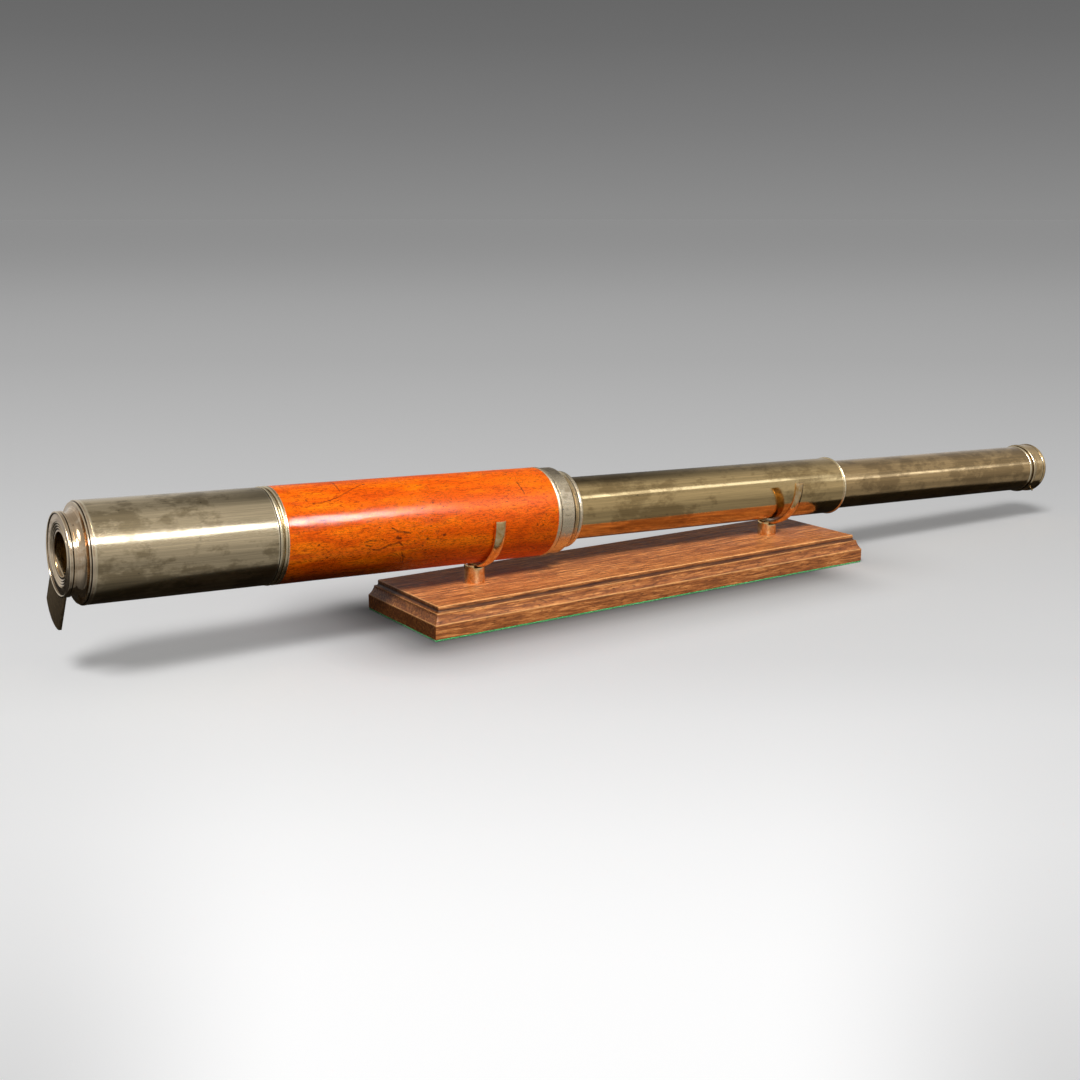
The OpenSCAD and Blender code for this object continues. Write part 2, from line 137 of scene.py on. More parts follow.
floor_r = 60.0
floor = flat_mesh("floor", [(floor_r * math.cos(a * math.pi / 32), floor_r * math.sin(a * math.pi / 32), 0)
                            for a in range(64)])
painted_floor, tree = empty_material("painted_floor")
place = add(tree, "ShaderNodeTexCoord").outputs["Object"]
look_x, look_y = 0.5565, 0.8308
ahead = vector(tree, "DOT_PRODUCT", place, (look_x, look_y, 0))
# One over the way ahead of a point in front, or out from the middle where that is more, so that the far
# floor has room on the scale
from_front = calc(tree, "ADD", ahead, 1.055)
out_from = vector(tree, "LENGTH", place)
from_middle = calc(tree, "SUBTRACT", out_from, 0.65)
way_off = calc(tree, "SMOOTH_MAX", from_front, from_middle, 0.4)
far_off = calc(tree, "SMOOTH_MAX", way_off, 0.38, 0.15)
nearness = calc(tree, "DIVIDE", 0.4, far_off, use_clamp=True)
# Paler towards the front, and a little darker again at both front corners
pale = ramp(tree, nearness, [(0.0, 0.172), (0.0853, 0.166), (0.1452, 0.147), (0.2061, 0.140), (0.2683, 0.146),
                             (0.3964, 0.190), (0.4624, 0.223), (0.5296, 0.318), (0.5982, 0.375),
                             (0.6681, 0.43), (0.7402, 0.46), (0.8137, 0.48), (1.0, 0.48)])
across = vector(tree, "DOT_PRODUCT", place, (look_y, -look_x, 0))
off_middle = calc(tree, "ABSOLUTE", calc(tree, "ADD", across, 0.07))
spread = calc(tree, "MULTIPLY", off_middle, nearness)
corner = ranged(tree, spread, 0.07, 0.17, interpolation_type="SMOOTHSTEP")
front_only = ranged(tree, nearness, 0.45, 0.95, 0.0, 0.31)
less = calc(tree, "MULTIPLY", corner, front_only)
shade = mix(tree, 1.0, pale, less, "SUBTRACT")
seen = add(tree, "ShaderNodeLightPath").outputs
coat = ramp(tree, nearness, [(0.0, 0.64), (0.1452, 0.64), (0.2061, 0.69), (0.2683, 0.73), (0.3964, 0.80),
                             (1.0, 0.80)])
# A soft painted contact shadow round the foot of the stand, by the distance from its edge, weaker at the
# right
foot_half = (0.2, 0.049, 0)
past = vector(tree, "SUBTRACT", vector(tree, "ABSOLUTE", place), foot_half)
outside = vector(tree, "MAXIMUM", past, (0, 0, 0))
apart = vector(tree, "LENGTH", outside)
apart_dm = calc(tree, "MULTIPLY", apart, 10.0)
foot_shadow_ramp = ramp(tree, apart_dm, [(0.0, 0.20), (0.06, 0.27), (0.13, 0.37), (0.19, 0.44), (0.25, 0.53),
                             (0.31, 0.61), (0.37, 0.69), (0.45, 0.76), (0.57, 0.84), (0.68, 0.91),
                             (0.80, 0.97), (0.95, 1.0)])
foot_x = add(tree, "ShaderNodeSeparateXYZ", {0: place}).outputs
at_right = ranged(tree, foot_x["X"], 0.135, 0.185, 1.0, 0.25, interpolation_type="SMOOTHSTEP")
painted_foot_shadow = mix(tree, at_right, (1, 1, 1, 1), foot_shadow_ramp)
paint_way = mix(tree, 1.0, coat, painted_foot_shadow, "MULTIPLY")
paint = add(tree, "ShaderNodeBsdfDiffuse", {"Color": paint_way}).outputs[0]
glow_way = mix(tree, 1.0, shade, painted_foot_shadow, "MULTIPLY")
glow = add(tree, "ShaderNodeEmission", {"Color": glow_way, "Strength": seen["Is Camera Ray"]}).outputs[0]
surface = add(tree, "ShaderNodeAddShader", {0: glow, 1: paint}).outputs[0]
add(tree, "ShaderNodeOutputMaterial", {"Surface": surface})
floor.data.materials.append(painted_floor)
unseen(floor, "diffuse", "glossy", "transmission")


# Studio light
# Softboxes in front light the telescope and the stand board, a high one at the left gives the shadow on
# the floor, and three lit strips draw the highlights along the tubes. The rest of the room is grey.
world = bpy.data.worlds.new("studio")
bpy.context.scene.world = world
world.use_nodes = True
tree = world.node_tree
tree.nodes.clear()
place = add(tree, "ShaderNodeTexCoord").outputs["Generated"]
way = add(tree, "ShaderNodeSeparateXYZ", {0: place}).outputs
front = calc(tree, "MULTIPLY", way["Y"], -1.0)
# The angle round the telescope: 0 at the front horizon, a quarter of a turn overhead
round_x = calc(tree, "ARCTAN2", way["Z"], front)
turn = ranged(tree, round_x, -math.pi, math.pi)
room = ramp(tree, turn, [(0.0, 0.50), (0.06, 0.40), (0.13, 0.10), (0.206, 0.05), (0.29, 0.11), (0.37, 0.32),
                         (0.43, 0.28), (0.483, 0.45), (0.54, 0.58), (0.60, 0.55), (0.66, 0.54), (0.71, 0.54),
                         (0.76, 0.48), (0.82, 0.38), (0.875, 0.42), (0.94, 0.56), (1.0, 0.62)])
# Something dark stands behind the middle of the telescope
rear = ranged(tree, front, 0.05, -0.45)
gap = ramp(tree, way["X"], [(0.0, 1.0), (0.34, 1.0), (0.43, 0.20), (0.64, 0.27), (0.74, 1.0), (1.0, 1.0)])
darker = mix(tree, rear, room, mix(tree, 1.0, room, gap, "MULTIPLY"))
# Matt surfaces get less of the room than mirroring ones, and least from below
seen = add(tree, "ShaderNodeLightPath").outputs
matt_share = ranged(tree, way["Z"], -0.1, 0.3, 0.08, 0.28)
to_matt = mix(tree, 1.0, darker, matt_share, "MULTIPLY")
lit = mix(tree, seen["Is Diffuse Ray"], darker, to_matt)
# The backdrop that the camera sees, darker towards the top
rise = ranged(tree, way["Z"], 0.0, 0.17)
backdrop = ramp(tree, rise, [(0.0, 0.262), (0.33, 0.200), (0.66, 0.150), (1.0, 0.117)])
level = mix(tree, seen["Is Camera Ray"], lit, backdrop)
background = add(tree, "ShaderNodeBackground", {"Color": level}).outputs[0]
add(tree, "ShaderNodeOutputWorld", {"Surface": background})


def softbox(name, place, aim, size, watts, lights):
    """A square soft lamp at place that faces aim, in metres, and lights what one collection says."""
    lamp = bpy.data.objects.new(name, bpy.data.lights.new(name, "AREA"))
    lamp.data.shape = "RECTANGLE"
    lamp.data.size, lamp.data.size_y = size, size
    lamp.data.energy = watts
    lamp.light_linking.receiver_collection = lights
    lamp.location = place
    lamp.rotation_euler = (Vector(aim) - Vector(place)).to_track_quat("-Z", "Y").to_euler()
    unseen(lamp, "camera")
    bpy.context.scene.collection.objects.link(lamp)
    return lamp


# What each lamp lights; the board and the barrel are put in these in their own sections
not_floor, board_alone, all_but_board, wood_alone = [bpy.data.collections.new(name) for name in (
    "all_but_the_floor", "board_alone", "all_but_the_board", "wood_alone")]
not_floor.objects.link(floor)
not_floor.collection_objects[0].light_linking.link_state = "EXCLUDE"
# The front softbox would draw a second shadow on the floor, so it lights only the object. A second one
# beside it is shaded so that it lights the stand board alone, which the high one misses
front_place, front_aim = (-0.34, -1.34, 1.24), (-0.10, 0, 0.04)
softbox("front_softbox", front_place, front_aim, 0.32, 22.0, not_floor)
softbox("board_softbox", front_place, front_aim, 0.32, 24.0, board_alone)
softbox("high_softbox", (-2.8, -2.2, 4.9), (0, 0, 0), 2.0, 190.0, all_but_board)


def strip_light(name, first, last, power, stops, colour=(0.90, 1.0, 1.20, 1)):
    """A long lit cloth that curves over the tubes from X first to last, brighter in places."""
    steps, away, tube_h = 60, 1.4, 0.07
    rail = [first + (last - first) * i / steps for i in range(steps + 1)]
    edges = []
    for side in (-1, 1):
        for x in rail:
            # It rises a little towards the eyepiece and drops over the second draw
            centre = math.radians(34 + 15 * min(1.0, max(0.0, (x - 0.2) / 0.9))
                                  - 19 * min(1.0, max(0.0, (x - 1.60) / 0.10)))
            half = math.radians(5.5) * side
            edges.append((x, -away * math.cos(centre + half), tube_h + away * math.sin(centre + half)))
    cloth = flat_mesh(name, edges, [(i, i + steps + 1, i + steps + 2, i + 1) for i in range(steps)])
    lit_cloth, tree = empty_material(name + "_cloth")
    place = add(tree, "ShaderNodeTexCoord").outputs["Object"]
    along = add(tree, "ShaderNodeSeparateXYZ", {0: place}).outputs
    length = ranged(tree, along["X"], first, last)
    fade = ramp(tree, length, stops)
    strength = calc(tree, "MULTIPLY", fade, power)
    glow = add(tree, "ShaderNodeEmission", {"Color": colour, "Strength": strength}).outputs[0]
    add(tree, "ShaderNodeOutputMaterial", {"Surface": glow})
    cloth.data.materials.append(lit_cloth)
    unseen(cloth, "camera", "diffuse", "shadow")
    return cloth


# Strengths along each strip are fractions of its strongest
strip_light("shade_strip_softbox", -0.10, 0.31, 7.0, [(0.0, 0.94), (1.0, 1.0)])
wood_strip = strip_light("wood_strip_softbox", 0.31, 0.86, 220.0, [
    (0.0, 1.0), (0.12, 1.0), (0.26, 0.70), (0.50, 0.22), (0.85, 0.06), (1.0, 0.03)],
    colour=(0.86, 1.0, 0.96, 1))
strip_light("draw_strip_softbox", 0.86, 2.3, 2.1, [(0.0, 1.0), (0.51, 0.95), (0.60, 1.0)])
wood_strip.light_linking.receiver_collection = wood_alone
# A shaded lamp overhead keeps the top of the wood as bright as its side. The far side of the wood, away
# from the lamps, gets a weak one of its own
wood_middle = (-0.18, 0, 0.07)
softbox("wood_softbox", (-0.7, -0.7, 2.3), wood_middle, 0.5, 10.0, wood_alone)
far_side_softbox = softbox("far_side_softbox", (0.3, 1.9, 1.3), wood_middle, 0.6, 14.0, wood_alone)
unseen(far_side_softbox, "glossy")

# The dark table top under the object, which only the mirroring surfaces show
table = flat_mesh("dark_table", [(x, y, -0.002) for x, y in (
    (-0.62, 0.10), (-0.42, -0.015), (-0.34, -0.060), (-0.26, -0.072), (0.0, -0.056), (0.38, -0.052),
    (0.52, -0.035), (0.80, 0.10), (0.70, 0.45), (-0.50, 0.45))])
dark_cloth, tree = empty_material("dark_cloth")
surface = add(tree, "ShaderNodeBsdfDiffuse", {"Color": (0.13, 0.117, 0.10, 1)}).outputs[0]
add(tree, "ShaderNodeOutputMaterial", {"Surface": surface})
table.data.materials.append(dark_cloth)
unseen(table, "camera", "shadow")


# Stand board
# A solid mahogany board with a moulded edge: upright fascia, hollowed band, small ledge and cove, and
# a rounded top arris. French polished, worn pale along the arrises and mitred corners. Painted light:
# highlight lines on the arrises, shade in the cove, and a top drawn lighter than the sides.
def bowed(p, q, sag, n=6):
    """Points of a shallow curve from p to q that sags to the right of the way."""
    (x0, y0), (x1, y1) = p, q
    length = math.hypot(x1 - x0, y1 - y0)
    return [(x0 + (x1 - x0) * t + (y1 - y0) / length * 4 * sag * t * (1 - t),
             y0 + (y1 - y0) * t - (x1 - x0) / length * 4 * sag * t * (1 - t))
            for t in (i / n for i in range(n + 1))]


def arc(cx, cy, r, start, stop, n=8):
    """Points of an arc, its angles in degrees."""
    return [(cx + r * math.cos(math.radians(start + (stop - start) * i / n)),
             cy + r * math.sin(math.radians(start + (stop - start) * i / n))) for i in range(n + 1)]


def smooth(mesh, crease):
    """Smooth shading up to a crease in degrees."""
    for face in mesh.polygons:
        face.use_smooth = True
    mesh.set_sharp_from_angle(angle=math.radians(crease))


def solid(name, points, faces, crease=32):
    """A closed mesh from points in millimetres, merged, facing outwards, smooth up to a crease."""
    piece = flat_mesh(name, np.asarray(points) * 0.001, faces)
    mesh = piece.data
    work = bmesh.new()
    work.from_mesh(mesh)
    bmesh.ops.remove_doubles(work, verts=work.verts, dist=1e-6)
    bmesh.ops.dissolve_degenerate(work, edges=work.edges, dist=1e-7)
    bmesh.ops.recalc_face_normals(work, faces=work.faces)
    work.to_mesh(mesh)
    work.free()
    smooth(mesh, crease)
    return piece


def sides(rows, count, closed=False):
    """Faces between rows of points that each go round once, and from the last row to the first if closed."""
    return [(i * count + j, i * count + (j + 1) % count, (i + 1) % rows * count + (j + 1) % count,
             (i + 1) % rows * count + j) for i in range(rows if closed else rows - 1) for j in range(count)]


board_half = (200.0, 49.0)
baize_t, board_h = 1.5, 21.0
ledge_in, cove_r, cove_z = 3.1, 1.7, 18.4
# Each point of the section: inset, height, and how far it is rubbed pale with a painted highlight (above 0)
# or darkened by dirt and painted shade (below 0)
board_section = ([(0.0, 0.0, 0), (0.0, 0.7, 0), (0.0, 8.7, 0), (0.0, 9.4, 0.7), (0.12, 9.85, 1)]
                 + [(-x, z, w) for (x, z), w in zip(bowed((-0.35, 9.95), (-ledge_in, 16.0), -0.35),
                                                    (0.5, 0, 0, -0.3, 0, 0, 0.2))]
                 + [(ledge_in, 16.5, 0.9), (ledge_in + 0.12, 16.7, 1)]
                 + [(ledge_in + 0.4 + x, cove_z + z, max(-0.9, -0.2 - i / 6))
                    for i, (x, z) in enumerate(arc(0, 0, cove_r, -90, 0, 6))]
                 + [(5.2, 20.2, 0.2), (5.28, 20.62, 0.9), (5.5, 20.88, 1), (5.85, 21.0, 0.8), (6.7, 21.0, 0)])
# One row of points round the board for each point of its section
side_n, corner = (40, 160), 0.5
signs = ((1, -1), (1, 1), (-1, 1), (-1, -1))
rings = []
for inset, z, _ in board_section:
    hx, hy = board_half[0] - inset, board_half[1] - inset
    ring = []
    for k, (sx, sy) in enumerate(signs):
        ring += arc(sx * (hx - corner), sy * (hy - corner), corner, 90 * k - 90, 90 * k, 3)
        nx, ny = signs[(k + 1) % 4]
        n = side_n[k % 2]
        x0, y0 = ring[-1]
        x1, y1 = arc(nx * (hx - corner), ny * (hy - corner), corner, 90 * k, 90 * k, 1)[0]
        ring += [(x0 + (x1 - x0) * i / n, y0 + (y1 - y0) * i / n) for i in range(1, n)]
    rings.append([(x, y, z + baize_t) for x, y in ring])
count, last = len(rings[0]), len(rings) - 1
faces = sides(len(rings), count) + [tuple(range(count))[::-1], tuple(range(last * count, (last + 1) * count))]
stand_board = solid("stand_board_wood", [p for ring in rings for p in ring], faces, crease=24)


def give(piece, name, values):
    """Stores one number for each point of a piece, for its material to read."""
    kept = piece.data.attributes.new(name, "FLOAT", "POINT")
    kept.data.foreach_set("value", np.ascontiguousarray(values, dtype=np.float32))


def points_mm(piece):
    """The points of a piece in millimetres."""
    flat = np.empty(len(piece.data.vertices) * 3)
    piece.data.vertices.foreach_get("co", flat)
    return flat.reshape(-1, 3) * 1000


def in_mm(tree):
    """The object's own millimetres, for a pattern."""
    place = add(tree, "ShaderNodeTexCoord").outputs["Object"]
    return vector(tree, "MULTIPLY", place, (1000, 1000, 1000))


def noise(tree, place, scale, detail, roughness=0.5, distortion=0.0):
    """A cloudy pattern, from about 0.3 to 0.7."""
    return add(tree, "ShaderNodeTexNoise", {"Vector": place, "Scale": scale, "Detail": detail,
                                            "Roughness": roughness, "Distortion": distortion}).outputs["Fac"]


def stored(tree, name):
    """The number that the piece's points carry under a name."""
    return add(tree, "ShaderNodeAttribute", attribute_name=name).outputs["Fac"]


def bump(tree, strength, depth, height, over=None):
    """A surface raised by height, depth metres at most, over another relief if one is given."""
    into = {"Strength": strength, "Distance": depth, "Height": height}
    return add(tree, "ShaderNodeBump", into if over is None else {**into, "Normal": over}).outputs[0]


def principled(tree, inputs):
    """Ends a material's tree in one surface."""
    surface = add(tree, "ShaderNodeBsdfPrincipled", inputs).outputs[0]
    add(tree, "ShaderNodeOutputMaterial", {"Surface": surface})


# 1 on the rubbed arrises, which also carry a painted highlight line; below 0 in the groove, where polish
# and dirt gather and painted shade darkens it
at = points_mm(stand_board)
inset = np.minimum(board_half[0] - abs(at[:, 0]), board_half[1] - abs(at[:, 1]))
section_inset, section_z, section_wear_and_light = np.array(board_section).T
gap_to = np.hypot(inset[:, None] - section_inset, at[:, 2, None] - baize_t - section_z)
give(stand_board, "arris", section_wear_and_light[gap_to.argmin(axis=1)])
# Painted light: the top face is drawn up to 1.6 times lighter than the moulded sides, blending in just inside
# its edge
top_inset, top_light_blend_w = 5.2, 0.3
give(stand_board, "faded", np.clip((inset - top_inset) / top_light_blend_w, 0, 1))
board_alone.objects.link(stand_board)
all_but_board.objects.link(stand_board)
all_but_board.collection_objects[0].light_linking.link_state = "EXCLUDE"

polished_mahogany, tree = empty_material("polished_mahogany")
mm = in_mm(tree)
# Grain runs along the board: stripes of growth a few millimetres wide, and pores 0.3 mm wide that
# are drawn about twice that so that they show
figure = noise(tree, vector(tree, "MULTIPLY", mm, (0.07, 1, 1)), 0.55, 8.0, 0.78, 0.3)
pores = noise(tree, vector(tree, "MULTIPLY", mm, (0.16, 1, 1)), 1.0, 5.0, 0.72)
wood = ramp(tree, figure, [(0.36, "#603519"), (0.46, "#824a26"), (0.53, "#a06030"), (0.62, "#cc8a50")])
pore_dark = ranged(tree, pores, 0.53, 0.64, 0.0, 0.8)
# Painted light from above: the top face lighter than the sides
top_light_level = ranged(tree, stored(tree, "faded"), 0.0, 1.0, 1.0, 1.6)
wood_level = mix(tree, 1.0, wood, top_light_level, "MULTIPLY")
with_pores = mix(tree, pore_dark, wood_level, "#351708")
arris = stored(tree, "arris")
uneven = ranged(tree, pores, 0.3, 0.6, 0.95, 0.45)
# Rubbed pale arrises, which also carry a painted highlight line
rubbed_and_lit = ranged(tree, arris, 0.25, 1.0)
rubbed_and_lit_part = calc(tree, "MULTIPLY", rubbed_and_lit, uneven)
worn_and_lit_arris = mix(tree, rubbed_and_lit_part, with_pores, "#eab070")
# Dirt and painted shade darken the cove
grime_and_shade = ranged(tree, arris, -0.1, -0.9, 0.0, 0.85)
body_colour = mix(tree, grime_and_shade, worn_and_lit_arris, "#2a150c")
gloss = noise(tree, mm, 0.08, 4.0)
dullness = ranged(tree, gloss, 0.3, 0.7, 0.32, 0.50)
sunk = calc(tree, "SUBTRACT", 1.0, pores)
relief = bump(tree, 0.5, 0.00015, sunk)
principled(tree, {"Base Color": body_colour, "Roughness": dullness, "IOR": 1.5, "Specular IOR Level": 0.3,
                  "Normal": relief})
stand_board.data.materials.append(polished_mahogany)
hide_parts("stand_board")
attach(stand_board, "stand")

# Baize
# Green woollen baize glued under the board and trimmed just inside its edge. The cut edge is soft
# and ragged, with loose pale fibres.
rng = np.random.default_rng(4)
points = []
hx, hy, rim_n = 199.95, 48.95, 900
loop = []
for k in range(rim_n):
    t = k / rim_n * (4 * hx + 4 * hy)
    if t < 2 * hx:
        loop.append((t - hx, -hy))
    elif t < 2 * hx + 2 * hy:
        loop.append((hx, t - 2 * hx - hy))
    elif t < 4 * hx + 2 * hy:
        loop.append((hx - (t - 2 * hx - 2 * hy), hy))
    else:
        loop.append((-hx, hy - (t - 4 * hx - 2 * hy)))
ragged = abs(rng.normal(0, 0.14, (4, rim_n)))
for level, (z, inset) in zip(ragged, ((0.0, 0.25), (0.5, 0.0), (1.1, 0.0), (1.5, 0.15))):
    for pull, (x, y) in zip(level, loop):
        points.append((x * (1 - (inset + pull) / hx), y * (1 - (inset + pull) / hy), z))
faces = sides(4, rim_n) + [tuple(range(rim_n))[::-1], tuple(range(3 * rim_n, 4 * rim_n))]
baize = solid("baize_cloth", points, faces, crease=80)

wool_baize, tree = empty_material("wool_baize")
mm = in_mm(tree)
nap = noise(tree, mm, 1.4, 4.0, 0.7)
dye = ramp(tree, nap, [(0.3, "#1f8442"), (0.5, "#36c463"), (0.66, "#a6ecb0")])
principled(tree, {"Base Color": dye, "Roughness": 0.95, "Specular IOR Level": 0.1, "Sheen Weight": 0.5,
                  "Sheen Roughness": 0.6, "Normal": bump(tree, 0.8, 0.0003, nap)})
baize.data.materials.append(wool_baize)
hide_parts("baize_pad")
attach(baize, "stand")

# Loose fibres of the cut edge: short hairs scattered along the pad's rim, pointing outwards
rim = [(x * (1 - 0.12 / hx), y * (1 - 0.12 / hy)) for x, y in loop]
fringe = solid("baize_fringe", [(x, y, z) for z in (0.35, 1.4) for x, y in rim], sides(2, rim_n), crease=80)
hairs = bpy.data.node_groups.new("baize_hairs", "GeometryNodeTree")
hairs.is_modifier = True
into_hairs = {}
for name, kind, start in (("Rim", "Geometry", None), ("Hairs per Square Metre", "Float", 3.0e6),
                          ("Hair Length", "Float", 0.0009), ("Hair Radius", "Float", 0.00009),
                          ("Seed", "Int", 3), ("Cloth", "Material", None)):
    socket = hairs.interface.new_socket(name, in_out="INPUT", socket_type="NodeSocket" + kind)
    into_hairs[name] = socket.identifier
    if start is not None:
        socket.default_value = start
hairs.interface.new_socket("Hairs", in_out="OUTPUT", socket_type="NodeSocketGeometry")
given = add(hairs, "NodeGroupInput").outputs
spots = add(hairs, "GeometryNodeDistributePointsOnFaces", {
    "Mesh": given["Rim"], "Density": given["Hairs per Square Metre"], "Seed": given["Seed"]})
astray = add(hairs, "FunctionNodeRandomValue", {
    0: (-0.9, -0.9, -0.25), 1: (0.9, 0.9, 0.6), "Seed": given["Seed"]}, data_type="FLOAT_VECTOR")
lean = vector(hairs, "ADD", spots.outputs["Normal"], astray.outputs[0])
facing = add(hairs, "FunctionNodeAlignRotationToVector", {"Vector": lean}, axis="Z")
hair = add(hairs, "GeometryNodeMeshCone", {
    "Vertices": 4, "Radius Top": 0.0, "Radius Bottom": given["Hair Radius"], "Depth": given["Hair Length"]},
    fill_type="NONE")
length = add(hairs, "FunctionNodeRandomValue", {2: 0.35, 3: 1.0, "Seed": given["Seed"]}, data_type="FLOAT")
placed = add(hairs, "GeometryNodeInstanceOnPoints", {
    "Points": spots.outputs["Points"], "Instance": hair.outputs["Mesh"],
    "Rotation": facing.outputs["Rotation"], "Scale": length.outputs[1]})
real = add(hairs, "GeometryNodeRealizeInstances", {"Geometry": placed.outputs[0]})
dressed = add(hairs, "GeometryNodeSetMaterial", {"Geometry": real.outputs[0], "Material": given["Cloth"]})
add(hairs, "NodeGroupOutput", {"Hairs": dressed.outputs[0]})


def make_plain(piece):
    """Leaves a piece the mesh that its modifiers make of it, without them."""
    bpy.context.view_layer.update()
    piece.data = bpy.data.meshes.new_from_object(piece.evaluated_get(bpy.context.evaluated_depsgraph_get()))
    piece.modifiers.clear()


grow = fringe.modifiers.new("baize_hairs", "NODES")
grow.node_group = hairs
for name, value in (("Hair Length", 0.0009), ("Seed", 3), ("Cloth", wool_baize)):
    grow[into_hairs[name]] = value
make_plain(fringe)
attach(fringe, "stand")


# Cradle posts
# Two short lengths of thick brass tube, screwed up through the board, with a slot sawn across the
# open top for the strap.
def lathe_mm(profile, around, finest, shape=None, shown=0.0):
    """Points and faces of a piece turned about its own Z to [radius, station] points. Its rows lie
    finest apart at most, or 5 mm inside the radius shown."""
    rows = []
    for (r0, s0), (r1, s1) in zip(profile, profile[1:] + profile[:1]):
        n = max(1, math.ceil(math.hypot(r1 - r0, s1 - s0) / (finest if min(r0, r1) >= shown else 5.0)))
        rows += [(r0 + (r1 - r0) * i / n, s0 + (s1 - s0) * i / n) for i in range(n)]
    r = np.array([row[0] for row in rows])[:, None] * np.ones(around)
    s = np.array([row[1] for row in rows])[:, None] * np.ones(around)
    angle = np.linspace(0, 2 * np.pi, around, endpoint=False)[None, :] * np.ones((len(rows), 1))
    if shape is not None:
        r = shape(r, s, angle)
    points = np.stack([r * np.cos(angle), r * np.sin(angle), s], axis=-1).reshape(-1, 3)
    return points, sides(len(rows), around, closed=True)


def spun(points, degrees):
    """Points turned about their Z."""
    a = math.radians(degrees)
    return points @ np.array([[math.cos(a), -math.sin(a), 0], [math.sin(a), math.cos(a), 0], [0, 0, 1]]).T


def cut_away(piece, *tools, bevel=0.0, crease=32):
    """Takes tools out of piece, rounds the edges by bevel (mm), and leaves a plain mesh."""
    for tool in tools:
        cut = piece.modifiers.new("cut", "BOOLEAN")
        cut.operation, cut.solver, cut.object = "DIFFERENCE", "EXACT", tool
    if bevel:
        round_off = piece.modifiers.new("round_off", "BEVEL")
        round_off.width, round_off.segments = bevel * 0.001, 2
        round_off.limit_method, round_off.angle_limit = "ANGLE", math.radians(40)
        round_off.harden_normals = False
    make_plain(piece)
    smooth(piece.data, crease)
    for tool in tools:
        bpy.data.objects.remove(tool, do_unlink=True)


def block(name, low, high, turn=None):
    """A box between two corners in millimetres, as a tool; turn maps its points."""
    corners = np.array([(x, y, z) for x in (low[0], high[0]) for y in (low[1], high[1])
                        for z in (low[2], high[2])], dtype=float)
    if turn is not None:
        corners = turn(corners)
    return solid(name, corners, [(0, 1, 3, 2), (4, 6, 7, 5), (0, 4, 5, 1), (2, 3, 7, 6), (0, 2, 6, 4),
                                 (1, 5, 7, 3)], crease=30)


post_x, post_r, post_bore, strap_w, strap_t, cradle_r = 140.0, 7.5, 6.2, 8.0, 3.0, 34.5
axis_h, tilt, clearance = 64.0, math.radians(2.3), 0.3


def saddle_of(x, r):
    """Height of the inside bottom of the cradle at x, under a round piece of radius r."""
    return axis_h - x * math.tan(tilt) - r / math.cos(tilt) - strap_w / 2 * math.sin(tilt) - clearance


saddles = {"front": (-post_x, saddle_of(-post_x, 32.1)), "rear": (post_x, saddle_of(post_x, 23.75))}
board_top = baize_t + board_h
posts = {}
for name, (x, saddle) in saddles.items():
    top, well = saddle - 0.8, board_top + 6.5
    points, faces = lathe_mm([
        (2.0, board_top), (post_r - 0.15, board_top), (post_r, board_top + 0.2), (post_r, top - 0.35),
        (post_r - 0.12, top - 0.08), (post_r - 0.4, top), (post_bore + 0.15, top), (post_bore, top - 0.2),
        (post_bore, well), (2.0, well)], around=96, finest=1.5)
    piece = solid(name + "_post_tube", points + np.array([x, 0, 0]), faces)
    saw_w = strap_w + 0.2
    saw = block("saw", (x - saw_w / 2, -12, saddle - strap_t), (x + saw_w / 2, 12, top + 3))
    cut_away(piece, saw, bevel=0.12)
    posts[name] = piece

# Polished cast brass, golden and a little pink, with soft stains and handling marks
polished_brass, tree = empty_material("polished_brass")
mm = in_mm(tree)
stains = noise(tree, mm, 0.25, 5.0, 0.65)
tone = ramp(tree, stains, [(0.28, "#b07a40"), (0.40, "#e6b670"), (0.62, "#f6d8a8")])
rubs = noise(tree, mm, 2.2, 3.0)
dullness = ranged(tree, stains, 0.3, 0.7, 0.26, 0.12)
principled(tree, {"Base Color": tone, "Metallic": 1.0, "Roughness": dullness,
                  "Normal": bump(tree, 0.12, 0.0001, rubs)})
for name, piece in posts.items():
    piece.data.materials.append(polished_brass)
    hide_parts(name + "_cradle_post")
    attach(piece, "stand")

# Cradle straps
# A brass strap bent to a half ring, flat inside and crowned outside, let into the slot of its post
# and soldered. Both ends stand a little above the half ring and are filed flat.
tip, crown_r, steps = 1.5, 7, 72
section = [(0.25, -strap_w / 2), (0.0, -strap_w / 2 + 0.25), (0.0, strap_w / 2 - 0.25), (0.25, strap_w / 2)]
crown = [(strap_t - crown_r + crown_r * math.cos(a), crown_r * math.sin(a))
         for a in np.linspace(0.60, -0.60, 17)]
section += [(x, y) for x, y in crown if abs(y) < strap_w / 2 - 0.02]
for name, (x, saddle) in saddles.items():
    turns = [("arc", math.pi + math.pi * i / steps) for i in range(steps + 1)]
    stations = [("up", 0)] + turns + [("down", 0)]
    points = []
    for kind, value in stations:
        for out, across in section:
            r = cradle_r + out
            ends = {"up": (-r, tip), "down": (r, tip)}
            y, z = ends.get(kind) or (r * math.cos(value), r * math.sin(value))
            points.append((x + across, y, saddle + cradle_r + z))
    rows, count = len(stations), len(section)
    faces = sides(rows, count) + [tuple(range(count)), tuple(range((rows - 1) * count, rows * count))]
    strap = solid(name + "_cradle_strap", points, faces, crease=35)
    cut_away(strap, bevel=0.15, crease=35)
    strap.data.materials.append(polished_brass)
    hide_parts(name + "_cradle")
    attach(strap, "stand")

